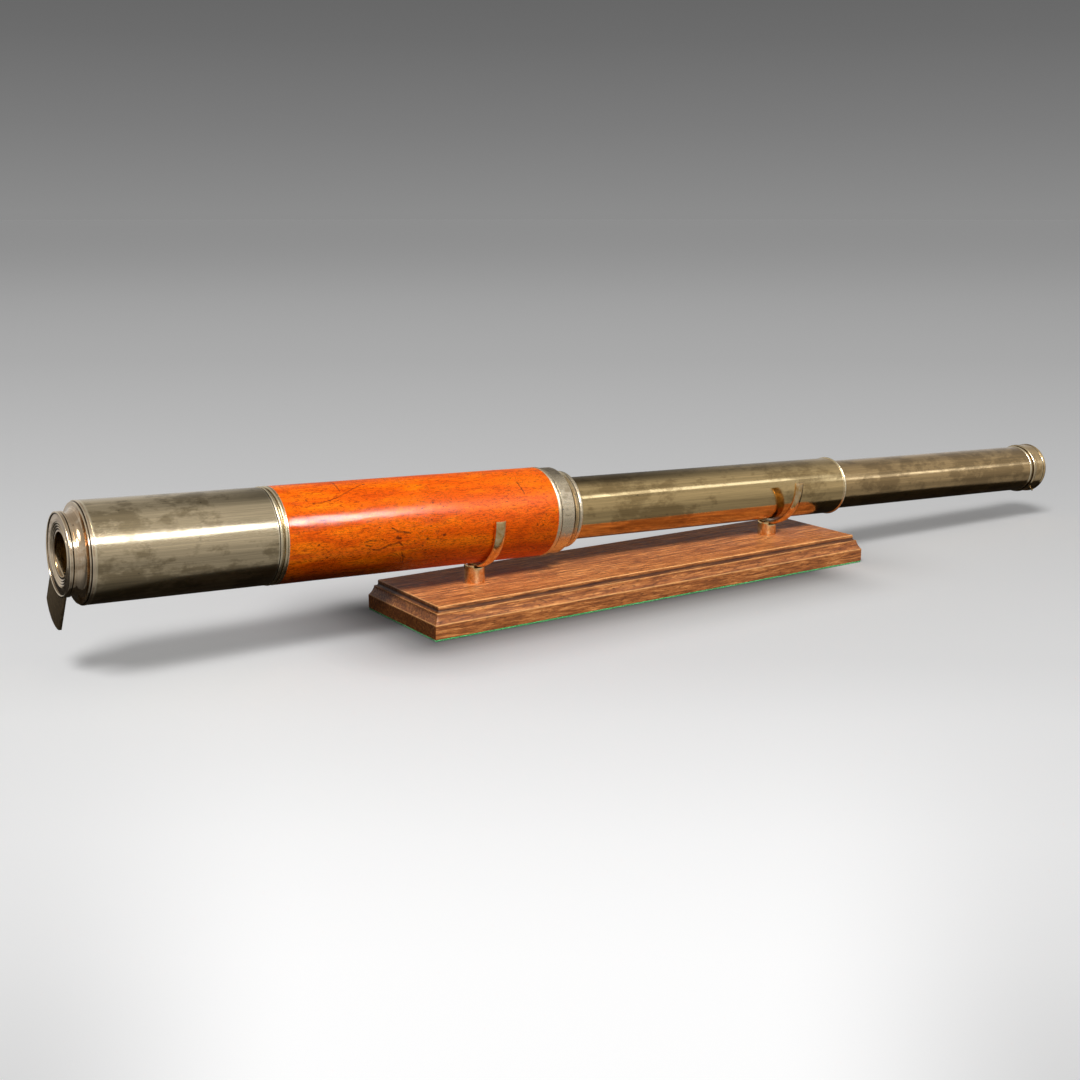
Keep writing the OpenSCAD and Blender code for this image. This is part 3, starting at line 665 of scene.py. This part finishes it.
# Post screws
# Two countersunk steel wood screws, up through the board into the posts; they are hidden under the
# baize.
bright_steel, tree = empty_material("bright_steel")
place = add(tree, "ShaderNodeTexCoord").outputs["Object"]
brushing = noise(tree, place, 900.0, 3.0)
dullness = ranged(tree, brushing, 0.0, 1.0, 0.25, 0.45)
tone = mix(tree, brushing, "#7d8086", "#a8abaf")
principled(tree, {"Base Color": tone, "Metallic": 1.0, "Roughness": dullness})


def refinish(node, material):
    """Gives a kept piece its material."""
    for material_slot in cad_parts[node].material_slots:
        material_slot.material = material


refinish("post_screws", bright_steel)


# Mahogany barrel
# A turned and bored mahogany tube, stained orange-red and varnished. The varnish is glossy towards the
# sunshade and worn dull where it is held; the wood has nicks, small dents and hairline scratches.
def on_axis(points):
    """Millimetres down, to the far side and along the telescope, as millimetres of the whole object."""
    p = np.asarray(points, dtype=float)
    down, far, along = p[..., 0], p[..., 1], p[..., 2]
    return np.stack([-down * math.sin(tilt) + along * math.cos(tilt), far,
                     axis_h - down * math.cos(tilt) - along * math.sin(tilt)], axis=-1)


def round_axis(piece):
    """Radius, angle and station of each point of a piece about the telescope's axis."""
    x, y, z = points_mm(piece).T
    down = -x * math.sin(tilt) - (z - axis_h) * math.cos(tilt)
    return np.hypot(down, y), np.arctan2(y, down), x * math.cos(tilt) - (z - axis_h) * math.sin(tilt)


def mark_edges(piece, profile, reach):
    """Stores 1 on a turned edge and -1 in a turned groove, over reach mm, for wear and a painted
    highlight on edges, and for dirt and painted shade in grooves.
    """
    corner = np.array(profile)
    before, after = corner - np.roll(corner, 1, axis=0), np.roll(corner, -1, axis=0) - corner
    bend = np.arctan2(before[:, 0] * after[:, 1] - before[:, 1] * after[:, 0], (before * after).sum(axis=1))
    nxt = np.roll(corner, -1, axis=0)
    bend *= np.sign((corner[:, 0] * nxt[:, 1] - corner[:, 1] * nxt[:, 0]).sum())
    radius, _, along = round_axis(piece)
    apart = (radius[:, None] - corner[:, 0]) ** 2 + (along[:, None] - corner[:, 1]) ** 2
    give(piece, "edge", np.clip((np.exp(-apart / reach ** 2) * bend).sum(axis=1), -1, 1))


def turned(name, profile, around=168, finest=2.0, shape=None, crease=32, shown=0.0, edge_reach=0.42):
    """A piece turned to [radius, station] points in millimetres on the telescope's axis."""
    points, faces = lathe_mm(profile, around, finest, shape, shown)
    piece = solid(name, on_axis(points), faces, crease)
    mark_edges(piece, profile, edge_reach)
    return piece


def axis_place(tree):
    """Millimetres down, to the far side and along the telescope, for a pattern."""
    place = add(tree, "ShaderNodeTexCoord").outputs["Object"]
    return add(tree, "ShaderNodeMapping", {"Vector": place, "Location": (0, 0, axis_h * 0.001),
                                           "Rotation": (0, math.pi / 2 + tilt, 0),
                                           "Scale": (0.001, 0.001, 0.001)}, vector_type="TEXTURE").outputs[0]


barrel_r, barrel_front, barrel_rear = 32.1, -294.4, -89.0
rng = np.random.default_rng(11)
knocks = [(rng.uniform(0, 2 * np.pi), rng.uniform(barrel_front + 6, barrel_rear - 6), rng.uniform(0.7, 1.8),
           rng.uniform(0.04, 0.16)) for k in range(70)]
knocks += [(math.radians(-62), -199.0, 3.2, 0.22), (math.radians(-70), -196.0, 1.4, 0.2)]


def worn_wood(r, s, angle):
    """Turned wood with a trace of unevenness, and small round dents."""
    uneven = 0.035 * np.sin(s / 9.0 + 2 * np.sin(angle)) * np.sin(3 * angle + s / 40)
    r = r + np.where(r > barrel_r - 0.05, uneven, 0)
    for a, place, size, depth in knocks:
        around = (angle - a + np.pi) % (2 * np.pi) - np.pi
        d2 = ((around * barrel_r) ** 2 + (s - place) ** 2) / size ** 2
        r = r - np.where(r > barrel_r - 0.3, depth * np.exp(-d2 * 1.6), 0)
    return r


wood_barrel = turned("wood_barrel_tube", [
    (29.6, barrel_front), (barrel_r - 0.35, barrel_front), (barrel_r - 0.1, barrel_front + 0.12),
    (barrel_r, barrel_front + 0.45), (barrel_r, barrel_rear - 0.45), (barrel_r - 0.1, barrel_rear - 0.12),
    (barrel_r - 0.35, barrel_rear), (30.0, barrel_rear), (30.0, -103.0), (28.2, -103.0), (28.2, -262.0),
    (29.6, -262.0)], around=280, finest=0.75, shape=worn_wood, shown=31.0)

# Scratches and pinholes that have gone through the varnish: width, depth, and points of angle and station
marks = [
    (0.5, 0.9, [(177, -250.9), (-167, -251.7), (-153, -251.7)]),
    (0.45, 0.8, [(-137, -274.3), (-136.5, -267.6), (-139, -261.7), (-143, -255.3), (-148, -249.4),
                 (-154, -243.1), (-162, -234.6)]),
    (0.5, 0.8, [(169, -216.5), (171, -212.6), (-172.5, -213)]),
    (0.6, 0.9, [(-98.6, -222.1), (-94, -218), (-92.6, -213.6), (-90.3, -208.6)]),
    (1.3, 0.8, [(-86.5, -218.3), (-84.7, -216)]),
    (0.55, 0.9, [(-84.4, -242), (-85.6, -238.5), (-85.4, -233.6)]),
    (0.6, 0.9, [(-80.7, -241.1), (-78.6, -237.5)]),
    (0.55, 1.0, [(-74.2, -235.8), (-72.8, -231.4), (-75.3, -227.3), (-78, -224), (-78.9, -219.7),
                 (-80.9, -216.9), (-76.1, -214.1)]),
    (0.5, 0.8, [(-67.5, -213.9), (-58.9, -211.5), (-48, -209.7)]),
    (0.5, 0.55, [(-58.3, -222.7), (-64.1, -221.8), (-65.4, -217.7), (-58.5, -213.4), (-50.4, -211.5),
                 (-45, -213.3)]),
    (0.5, 0.95, [(-145, -116.9), (-138.2, -116.3), (-132.7, -115.6), (-127.2, -114.9)]),
    (0.4, 0.6, [(-98, -109.9), (-99.6, -103.2), (-104.5, -97.9)]),
    (0.9, 1.0, [(-84, -182.8), (-84.6, -181.9)]), (0.9, 1.0, [(-81.1, -195.5), (-81.7, -194.7)]),
    (0.7, 1.0, [(-163.5, -232.5), (-163.7, -231.2)])]
marks += [(0.6, 0.9, [spot]) for spot in (
    (-141, -277.5), (-135.5, -273.9), (-90.5, -232.9), (-107.8, -210.1), (-80.2, -205.3), (-129.5, -199.4),
    (-144.9, -227.9), (-91.3, -249.1), (-86.2, -274.3), (-140.4, -191.3), (-138.1, -189.8), (-140.9, -175.1),
    (-128.3, -197.8), (-126.9, -173.9), (-102.1, -166.1), (-99.1, -168.6), (-93, -170.6), (-90.6, -169.4),
    (-89.7, -189), (-89.6, -187.4), (-91.5, -199.6), (-79.2, -160.7), (-76.3, -158.5), (-69.4, -150.6),
    (-156.4, -95.8), (-112.8, -98.8), (-93.5, -104.2), (-97.9, -99.9), (-87.7, -107.4), (-113, -174.4),
    (-107.9, -172.6), (-81.2, -132.5), (-104.9, -115.4))]
# More of them all round, most of them small
for k in range(150):
    spot = (rng.uniform(0, 360), rng.uniform(barrel_front + 5, barrel_rear - 4))
    if k % 4 == 0:
        bend = rng.normal(0, 3, 2)
        marks.append((0.33, 0.7, [spot, (spot[0] + bend[0], spot[1] + rng.uniform(1, 3)),
                                  (spot[0] + 2 * bend[0] + bend[1], spot[1] + rng.uniform(3, 7))]))
    else:
        marks.append((rng.uniform(0.35, 0.6), rng.uniform(0.5, 1.0), [spot]))


def round_mm(degrees):
    """An angle round the barrel, the short way, in millimetres."""
    return ((degrees + 180) % 360 - 180) * math.radians(1) * barrel_r


radius, angle, along = round_axis(wood_barrel)
through = np.zeros(len(radius))
for width, deep, way in marks:
    for (a0, s0), (a1, s1) in zip(way, way[1:] or way):
        da, ds = round_mm(np.degrees(angle) - a0), along - s0
        la, ls = round_mm(a1 - a0), s1 - s0
        t = np.clip((da * la + ds * ls) / max(la * la + ls * ls, 1e-9), 0, 1)
        through = np.maximum(through, deep * np.exp(-((da - t * la) ** 2 + (ds - t * ls) ** 2) / width ** 2))
give(wood_barrel, "through_varnish", np.where(radius > 31.0, through, 0))

varnished_mahogany, tree = empty_material("varnished_mahogany")
mm = axis_place(tree)
station = add(tree, "ShaderNodeSeparateXYZ", {0: mm}).outputs
# Broad figure, flecks of grain about 1 mm by 5 mm, and dark pores about half that
broad = noise(tree, vector(tree, "MULTIPLY", mm, (1, 1, 0.2)), 0.12, 6.0, 0.62, 0.5)
fleck_way = vector(tree, "MULTIPLY", mm, (1, 1, 0.28))
flecks = noise(tree, fleck_way, 1.0, 7.0, 0.74, 0.3)
pores = noise(tree, fleck_way, 1.9, 4.0, 0.7)
stain = ramp(tree, broad, [(0.32, "#d04c02"), (0.46, "#e65c02"), (0.56, "#f26c03"), (0.70, "#fa8008")])
fleck_fac = ranged(tree, flecks, 0.48, 0.62, 0.0, 0.85)
flecked = mix(tree, fleck_fac, stain, "#983002")
pore_fac = ranged(tree, pores, 0.55, 0.66, 0.0, 0.75)
with_pores = mix(tree, pore_fac, flecked, "#5a1a02")
# Small nicks in loose clusters, besides the marks that the piece carries
crowd = noise(tree, mm, 0.045, 2.0)
nick_way = vector(tree, "MULTIPLY", mm, (1, 1, 0.6))
nick = add(tree, "ShaderNodeTexVoronoi", {"Vector": nick_way, "Scale": 0.33}).outputs["Distance"]
reach = ranged(tree, crowd, 0.48, 0.66, 0.03, 0.22)
nick_in = calc(tree, "SUBTRACT", reach, nick)
nick_fac = ranged(tree, nick_in, 0.0, 0.06, 0.0, 0.85)
# Fine cracks, where two close values of a noise meet, in the most handled patches
crack = noise(tree, nick_way, 0.22, 5.0, 0.75, 1.2)
off_half = calc(tree, "COMPARE", crack, 0.5, 0.0045)
handled = ranged(tree, crowd, 0.50, 0.62, 0.0, 0.9)
broken = ranged(tree, pores, 0.42, 0.56, 0.45, 1.0)
crack_fac = calc(tree, "MULTIPLY", off_half, handled)
gone_fac = ranged(tree, stored(tree, "through_varnish"), 0.21, 0.62, 0.0, 0.93)
gone_part = calc(tree, "MULTIPLY", gone_fac, broken)
marked = calc(tree, "MAXIMUM", crack_fac, gone_part)
hurt = calc(tree, "MAXIMUM", nick_fac, marked)
scratched = mix(tree, hurt, with_pores, "#1e0c04")
# Gloss fades from the front to the part that is held
held = ranged(tree, station["Z"], -262.0, -165.0, 0.08, 0.32)
rub = noise(tree, vector(tree, "MULTIPLY", mm, (1, 1, 0.3)), 0.5, 5.0, 0.7)
rub_level = ranged(tree, rub, 0.3, 0.7, -0.05, 0.12)
dullness = calc(tree, "ADD", held, rub_level, use_clamp=True)
depth = calc(tree, "SUBTRACT", flecks, hurt)
relief = bump(tree, 0.30, 0.0003, depth)
principled(tree, {"Base Color": scratched, "Roughness": dullness, "IOR": 1.5, "Specular IOR Level": 0.14,
                  "Normal": relief})
wood_barrel.data.materials.append(varnished_mahogany)
wood_alone.objects.link(wood_barrel)
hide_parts("wood_barrel")
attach(wood_barrel, "barrel")


# Objective tube and ferrule
# The brass tube that the sunshade runs on is let into the front of the wood. A narrow rounded brass
# ring covers the joint.
def drawn_brass(name, metal_colour, tarnish, haze, low, high, mottle_mm=7.0, turned_lines=False, pits=0.0):
    """Old drawn or turned brass: bright where it is rubbed, mottled with tarnish in places, with hairline
    scratches along it (or fine rings round it, where it was turned), pale edges that are worn and carry a
    painted highlight, dark grooves of dirt and painted shade, and specks."""
    material, tree = empty_material(name)
    mm = axis_place(tree)
    part = add(tree, "ShaderNodeSeparateXYZ", {0: mm}).outputs
    mottle_way = vector(tree, "MULTIPLY", mm, (1, 1, 0.6))
    mottle = noise(tree, mottle_way, 1 / mottle_mm, 8.0, 0.66)
    where = noise(tree, mottle_way, 0.2 / mottle_mm, 2.0)
    patchy = calc(tree, "MULTIPLY_ADD", where, 0.9, mottle)
    if turned_lines:
        flat = add(tree, "ShaderNodeCombineXYZ", {0: part["X"], 1: part["Y"], 2: 0.0}).outputs[0]
        radius = vector(tree, "LENGTH", flat)
        way = add(tree, "ShaderNodeCombineXYZ", {0: radius, 1: 0.0, 2: part["Z"]}).outputs[0]
        lines = noise(tree, way, 2.4, 4.0)
        bands = noise(tree, way, 0.5, 2.0)
    else:
        way = vector(tree, "MULTIPLY", mm, (1, 1, 0.014))
        lines = noise(tree, way, 1.6, 6.0, 0.7)
        bands = noise(tree, way, 0.32, 3.0)
    tarnished = ranged(tree, patchy, 0.92, 1.06, 0.0, haze)
    tone = mix(tree, tarnished, metal_colour, tarnish)
    line_level = ranged(tree, lines, 0.3, 0.7, 0.74, 1.10)
    band_level = ranged(tree, bands, 0.3, 0.7, 0.84, 1.08)
    level = calc(tree, "MULTIPLY", line_level, band_level)
    lined = mix(tree, 1.0, tone, level, "MULTIPLY")
    speck = add(tree, "ShaderNodeTexVoronoi", {"Vector": mm, "Scale": 0.16}).outputs["Distance"]
    speck_size = ranged(tree, patchy, 0.85, 1.15, 0.0, 0.08 + pits)
    speck_in = calc(tree, "GREATER_THAN", speck_size, speck)
    spotted = mix(tree, speck_in, lined, "#2a2218")
    edge = stored(tree, "edge")
    # Pale edges are wear with a painted highlight; dark grooves are dirt with painted shade
    rubbed_and_lit = ranged(tree, edge, 0.25, 0.9, 0.0, 0.75)
    bright = mix(tree, rubbed_and_lit, spotted, "#fbeccb")
    grime_and_shade = ranged(tree, edge, -0.15, -0.6, 0.0, 0.95)
    grimed_and_shaded = mix(tree, grime_and_shade, bright, "#241a10")
    spread = ranged(tree, patchy, 0.8, 1.12, low, high)
    line_rough = ranged(tree, lines, 0.3, 0.7, 0.05, -0.03)
    dullness = calc(tree, "ADD", spread, line_rough, use_clamp=True)
    relief = bump(tree, 0.16, 0.0001, lines)
    if pits:
        pitting = noise(tree, mm, 1.1, 4.0, 0.7)
        relief = bump(tree, 0.5, 0.0002, pitting, relief)
    principled(tree, {"Base Color": grimed_and_shaded, "Metallic": 1.0, "Roughness": dullness, "Normal": relief})
    return material


ring_brass = drawn_brass("ring_brass", "#e2cb9e", "#9a8258", 0.5, 0.20, 0.32, turned_lines=True)
inner_brass = drawn_brass("inner_brass", "#d0b272", "#8a7038", 0.8, 0.20, 0.40)
refinish("objective_tube", inner_brass)
front_ferrule = turned("front_ferrule_ring", (
    [(29.6, -297.3), (30.2, -297.3), (30.35, -297.0)]
    + arc(31.1, -295.9, 1.1, -75, 35, 11)
    + [(32.05, -294.9), (32.1, -294.75), (32.1, -294.4), (29.6, -294.4)]), finest=0.4)
front_ferrule.data.materials.append(ring_brass)
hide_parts("front_ferrule")
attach(front_ferrule, "barrel")

# Barrel collar
# A brass ring turned from the solid at the rear of the wood: bead, plain band, hollow and a rolled lip
# that the first draw slides through. It is pitted and nicked, and three small screws hold it.
collar = turned("barrel_collar_ring", (
    [(25.2, -103.0), (30.0, -103.0), (30.0, -89.0), (31.75, -89.0)]
    + arc(30.5, -87.25, 1.8, -68, 68, 12)
    + [(31.05, -85.45), (31.05, -85.2), (31.4, -84.85), (31.4, -75.25), (31.25, -75.0), (31.0, -74.9)]
    + arc(31.0, -68.9, 5.8, -90, -160, 10)
    + [(28.6, -69.1), (28.25, -68.9), (27.8, -68.4), (27.8, -67.5)]
    + arc(26.8, -66.1, 1.4, -20, 90, 10)
    + [(23.2, -64.7), (23.1, -64.8), (23.1, -67.5), (25.2, -67.5)]), around=192, finest=0.5, shown=27.0)
hole_r, hole_foot, hole_station = 0.7, 28.6, -84.4
points, faces = lathe_mm([(0.0, -1.0), (hole_r, -1.0), (hole_r, 3.6), (0.0, 3.6)], around=20, finest=9)
points = points @ np.array([[0, 0, -1], [0, 1, 0], [1, 0, 0]]) + np.array([hole_foot, 0, hole_station])
cut_away(collar, *[solid("drill", on_axis(spun(points, a - 102)), faces) for a in (0, 120, 240)])
collar_brass = drawn_brass("collar_brass", "#ecd9b8", "#9c8462", 0.6, 0.26, 0.40, mottle_mm=4.0, pits=0.07)
collar.data.materials.append(collar_brass)
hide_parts("barrel_collar")
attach(collar, "barrel")
refinish("draw_1_bush", inner_brass)
refinish("collar_screws", bright_steel)

# Objective
# A crown and a flint lens, two inches clear, in a brass cell that screws into the front of the
# objective tube. A blackened ring holds them.
lens_glass, tree = empty_material("lens_glass")
place = add(tree, "ShaderNodeTexCoord").outputs["Object"]
dust = noise(tree, place, 400.0, 4.0)
dullness = ranged(tree, dust, 0.5, 0.8, 0.0, 0.12)
principled(tree, {"Base Color": "#f2f8f6", "IOR": 1.52, "Transmission Weight": 1.0, "Roughness": dullness})

blackened_brass, tree = empty_material("blackened_brass")
place = add(tree, "ShaderNodeTexCoord").outputs["Object"]
patchy = noise(tree, place, 350.0, 4.0)
tone = mix(tree, patchy, "#1c1a18", "#3a332c")
principled(tree, {"Base Color": tone, "Roughness": 0.7})
refinish("objective_cell", inner_brass)
for node in ("crown_lens", "flint_lens"):
    refinish(node, lens_glass)
refinish("lens_spacer", bright_steel)
refinish("lens_retaining_ring", blackened_brass)


# Sunshade
# A plain drawn brass tube that slides on the objective tube, with a beaded ring soldered to its rear
# end. It is aged to a greenish grey, rubbed along its length and clouded where it was held.
def slightly_bent(height, first, second):
    """A shape for a drawn tube: true to a few hundredths of a millimetre."""
    def shape(r, s, angle):
        wave = np.sin(s / first + 2 * angle) * np.cos(3 * angle) + 0.6 * np.sin(s / second - angle)
        return r + height * wave
    return shape


shade_front, shade_inner, shade_outer, bead_front = -415.6, 30.7, 31.7, -300.8
sunshade_brass = drawn_brass("sunshade_brass", "#dfcaa4", "#8f7c5a", 0.65, 0.13, 0.21, mottle_mm=8.0)
sunshade = turned("sunshade_brass_tube", [
    (shade_inner, shade_front), (shade_outer - 0.1, shade_front), (shade_outer, shade_front + 0.1),
    (shade_outer, bead_front), (shade_inner, bead_front)],
    around=240, finest=1.5, shape=slightly_bent(0.012, 17.0, 31.0))
sunshade.data.materials.append(sunshade_brass)
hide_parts("sunshade_tube")
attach(sunshade, "sunshade")

shade_ring = turned("sunshade_rear_bead", (
    [(29.66, -304.0), (shade_inner, -304.0), (shade_inner, bead_front), (30.9, -300.7), (30.95, -300.35)]
    + arc(30.8, -299.35, 1.4, -40, 60, 12)
    + [(30.3, -298.1), (30.1, -297.5), (29.66, -297.5)]), around=192, finest=0.3, shown=30.0)
shade_ring.data.materials.append(ring_brass)
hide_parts("sunshade_rear_ring")
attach(shade_ring, "sunshade")

# Objective cap
# A turned brass cap that pushes into the sunshade: flange, deep cove, and a face ring with three
# stepped ridges round a small aperture. The shutter's channel is cut across the face ring.
neck_r, cove_end, bore = 24.8, -418.9, 22.0
face_back, face_front, spigot_r = -424.8, -428.9, 30.62
cap = turned("cap_body_turning", (
    [(bore, face_back), (neck_r, face_back)]
    + arc(neck_r + 5, cove_end - 5, 5, 180, 90, 14)
    + [(30.75, cove_end), (30.9, cove_end + 0.12), (30.9, shade_front - 2.0), (31.05, shade_front - 1.9),
       (31.68, shade_front - 1.9), (31.8, shade_front - 1.78), (31.8, shade_front - 0.12),
       (31.7, shade_front - 0.01), (spigot_r, shade_front - 0.01), (spigot_r, shade_front + 8.4),
       (spigot_r - 0.2, shade_front + 8.6), (spigot_r - 1.2, shade_front + 8.6),
       (spigot_r - 1.2, shade_front - 0.6), (bore + 5.5, shade_front - 0.6), (bore, cove_end - 2)]),
    around=192, finest=0.5, shown=24.0)
cap_brass = drawn_brass("cap_brass", "#f0d8b8", "#b08c62", 0.5, 0.09, 0.18, mottle_mm=6.0,
                        turned_lines=True)
cap.data.materials.append(cap_brass)
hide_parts("cap_body")
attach(cap, "cap")

aperture, face_r, slide_w, slide_t, slide_out = 13.7, 25.9, 29.2, 1.9, 27.7
closed_inner, ear_l = aperture + 5.1, 3.0
channel_front = face_back - slide_t - 0.15
ridges = []
for i in range(3):
    r = 19.6 - 1.6 * i
    z = face_front + 0.95 + 0.15 * i
    ridges += [(r, z + 0.25), (r - 0.1, z - 0.05), (r - 0.45, z - 0.2), (r - 0.85, z - 0.12),
               (r - 1.15, z + 0.1), (r - 1.4, z + 0.3)]
face_ring = turned("cap_face_turning", (
    [(aperture, face_back), (face_r - 0.2, face_back), (face_r, face_back - 0.2), (face_r, face_back - 1.25),
     (face_r - 0.45, face_back - 1.55), (face_r - 0.45, face_back - 1.95), (face_r, face_back - 2.25),
     (face_r, face_front + 0.5), (face_r - 0.12, face_front + 0.15), (face_r - 0.45, face_front),
     (face_r - 1.0, face_front), (face_r - 1.25, face_front + 0.12), (face_r - 1.5, face_front + 0.6),
     (19.9, face_front + 0.72)]
    + ridges + [(aperture + 0.1, face_front + 1.5), (aperture, face_front + 1.6)]), around=192, finest=0.3,
    edge_reach=0.24)


def slide_place(points):
    """The shutter's own frame, +X the way it is pulled out, to the whole object."""
    turn = math.radians(30)
    p = np.asarray(points, dtype=float)
    return on_axis(np.stack([p[:, 0] * math.cos(turn) - p[:, 1] * math.sin(turn),
                             p[:, 0] * math.sin(turn) + p[:, 1] * math.cos(turn), p[:, 2]], axis=-1))


mouth_w = slide_w + 0.2
ears_w = mouth_w + 1.6
cut_away(face_ring,
         block("channel", (-closed_inner - 0.4, -ears_w / 2, channel_front),
               (-closed_inner + 0.3 + slide_out + ear_l, ears_w / 2, face_back + 1), turn=slide_place),
         block("mouth", (0, -mouth_w / 2, channel_front), (52, mouth_w / 2, face_back + 1), turn=slide_place))
face_ring.data.materials.append(cap_brass)
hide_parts("cap_face_ring")
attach(face_ring, "cap")

# Shutter slide
# A flat brass plate that slides across the cap's aperture and is shown pulled out. Its outer end is
# rounded to the face ring's edge; two small ears keep it in the channel.
slide_z = channel_front + 0.05
inner = slide_out - closed_inner
outline = [(inner, -(ears_w - 0.1) / 2), (inner + ear_l, -(ears_w - 0.1) / 2), (inner + ear_l, -slide_w / 2)]
top_angle = math.degrees(math.asin(slide_w / 2 / face_r))
outline += [(slide_out + x, y) for x, y in arc(0, 0, face_r, -top_angle, top_angle, 28)]
outline += [(inner + ear_l, slide_w / 2), (inner + ear_l, (ears_w - 0.1) / 2), (inner, (ears_w - 0.1) / 2)]
n = len(outline)
points = [(x, y, slide_z) for x, y in outline] + [(x, y, slide_z + slide_t) for x, y in outline]
faces = [tuple(range(n)), tuple(range(n, 2 * n))] + sides(2, n)
shutter = solid("shutter_plate", slide_place(points), faces, crease=30)
cut_away(shutter, bevel=0.18, crease=30)
shutter_brass = drawn_brass("shutter_brass", "#dcc29a", "#86704e", 0.6, 0.26, 0.38, mottle_mm=5.0)
shutter.data.materials.append(shutter_brass)
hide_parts("shutter_slide")
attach(shutter, "objective_shutter")

# First draw
# A drawn brass tube with a rolled ring at its eye end. It runs in a bush inside the collar; a stop
# ring, a blackened diaphragm and the second draw's bush are inside.
draw_brass = drawn_brass("draw_brass", "#dabb84", "#86693e", 0.5, 0.09, 0.15, mottle_mm=9.0)
draw_1 = turned("draw_1_brass_tube", [(22.15, -110.0), (22.95, -110.0), (22.95, 204.2), (22.15, 204.2)],
                around=200, finest=2.0, shape=slightly_bent(0.012, 23.0, 37.0))
draw_1.data.materials.append(draw_brass)
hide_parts("draw_1_tube")
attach(draw_1, "draw_1")
draw_1_ring = turned("draw_1_end_bead", (
    [(20.16, 204.2), (22.95, 204.2)] + arc(23.05, 204.9, 0.7, -80, 80, 10) + [(22.6, 205.6), (20.16, 205.6)]),
    around=192, finest=0.3)
draw_1_ring.data.materials.append(ring_brass)
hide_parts("draw_1_end_ring")
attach(draw_1_ring, "draw_1")
refinish("draw_1_stop_ring", inner_brass)
refinish("draw_1_diaphragm", blackened_brass)
refinish("draw_2_bush", inner_brass)

# Second draw
# The thinner drawn tube that carries the eyepiece. Inside are its stop ring and the image erector:
# two small lenses in cells, with a stop between them.
draw_2_brass = drawn_brass("draw_2_brass", "#cfae7c", "#7c6442", 0.5, 0.12, 0.19, mottle_mm=9.0)
draw_2 = turned("draw_2_brass_tube", [(19.25, 160.0), (20.05, 160.0), (20.05, 452.0), (19.25, 452.0)],
                around=192, finest=2.0, shape=slightly_bent(0.012, 21.0, 41.0))
draw_2.data.materials.append(draw_2_brass)
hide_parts("draw_2_tube")
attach(draw_2, "draw_2")
for node in ("draw_2_stop_ring", "erector_mount_ring", "erector_tube", "erector_front_cell",
             "erector_rear_cell"):
    refinish(node, inner_brass)
for node in ("erector_front_lens", "erector_rear_lens"):
    refinish(node, lens_glass)
refinish("erector_stop", blackened_brass)

# Eyepiece
# A turned brass head on the second draw: thin bead, round bead and plain band, then a screwed-in cap
# with a rolled edge and a hollow dish round the eye hole. The field and eye lenses are inside.
head, head_r, cavity_r = 448.3, 21.45, 20.1
eyepiece = turned("eyepiece_head_turning", (
    [(20.05, head)] + arc(19.8, head + 1, 1.0, -60, 60, 8)
    + [(20.35, head + 2.1), (20.35, head + 4)]
    + arc(20.4, head + 5.4, 1.4, -70, 70, 10)
    + [(head_r, head + 6.9), (head_r, head + 16.5), (cavity_r, head + 16.5), (cavity_r, head + 11.6),
       (10.5, head + 11.6), (10.5, head + 8.7), (19.25, head + 8.7), (19.25, 452.0), (20.05, 452.0)]),
    around=192, finest=0.5, shown=19.9)
low, high = math.radians(-44), math.radians(-13)
slot_points, steps, slot_front, slot_rear = [], 12, 459.2, 461.6
for i in range(steps + 1):
    a = low + (high - low) * i / steps
    for r, z in ((cavity_r - 1, slot_front), (cavity_r + 3, slot_front), (cavity_r + 3, slot_rear),
                 (cavity_r - 1, slot_rear)):
        slot_points.append((r * math.cos(a), r * math.sin(a), z))
slot_faces = sides(steps + 1, 4) + [(0, 1, 2, 3), tuple(range(steps * 4, steps * 4 + 4))]
cut_away(eyepiece, solid("slot", on_axis(slot_points), slot_faces))
head_brass = drawn_brass("head_brass", "#e0c08c", "#846840", 0.5, 0.13, 0.24, mottle_mm=5.0,
                         turned_lines=True)
eyepiece.data.materials.append(head_brass)
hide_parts("eyepiece_head")
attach(eyepiece, "draw_2")

eye_cap = turned("eye_cap_turning", (
    [(3.2, 462.1), (cavity_r, 462.1), (cavity_r, 464.81), (head_r - 0.1, 464.81)]
    + arc(22.0 - 2.3, 467.3, 2.3, -50, 62, 12)
    + arc(head_r - 4.6, 469.0, 3, 50, 90, 8)
    + [(15.4, 471.9), (15.0, 471.1), (12.2, 469.2), (8.7, 466.9), (8.3, 466.5), (3.9, 465.2), (3.4, 464.9)]),
    around=160, finest=0.5)
eye_cap.data.materials.append(head_brass)
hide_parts("eye_cap")
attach(eye_cap, "draw_2")
for node in ("eyepiece_tube", "field_lens_ring", "eye_lens_cell"):
    refinish(node, inner_brass)
for node in ("field_lens", "eye_lens"):
    refinish(node, lens_glass)
refinish("eyepiece_stop", blackened_brass)

# Eye shutter
# A small brass blade inside the eyepiece that swings over the eye hole, on a steel pivot screw. Its
# lever ends in a round brass knob that stands out of a slot in the band.
refinish("eye_shutter_pivot", bright_steel)
refinish("eye_shutter_plate", inner_brass)
pivot_r, pivot_turn, lever_turn, stem, knob_z = 13.5, math.radians(-19), -59, 6.2, 461.3
points, faces = lathe_mm([(0.0, 0.0), (0.9, 0.0), (0.85, 3.4), (0.7, 4.2), (0.72, 4.6), (0.95, 5.0),
                          (1.0, 5.4), (0.92, 5.8), (0.7, 6.12), (0.38, 6.33), (0.0, 6.4)],
                         around=40, finest=0.6)
points = np.stack([points[:, 2] + stem, points[:, 1], points[:, 0]], axis=-1)
points = spun(points, lever_turn) + [pivot_r * math.cos(pivot_turn), pivot_r * math.sin(pivot_turn), knob_z]
knob = solid("eye_shutter_pin", on_axis(points), faces)
knob.data.materials.append(ring_brass)
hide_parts("eye_shutter_knob")
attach(knob, "eye_shutter")
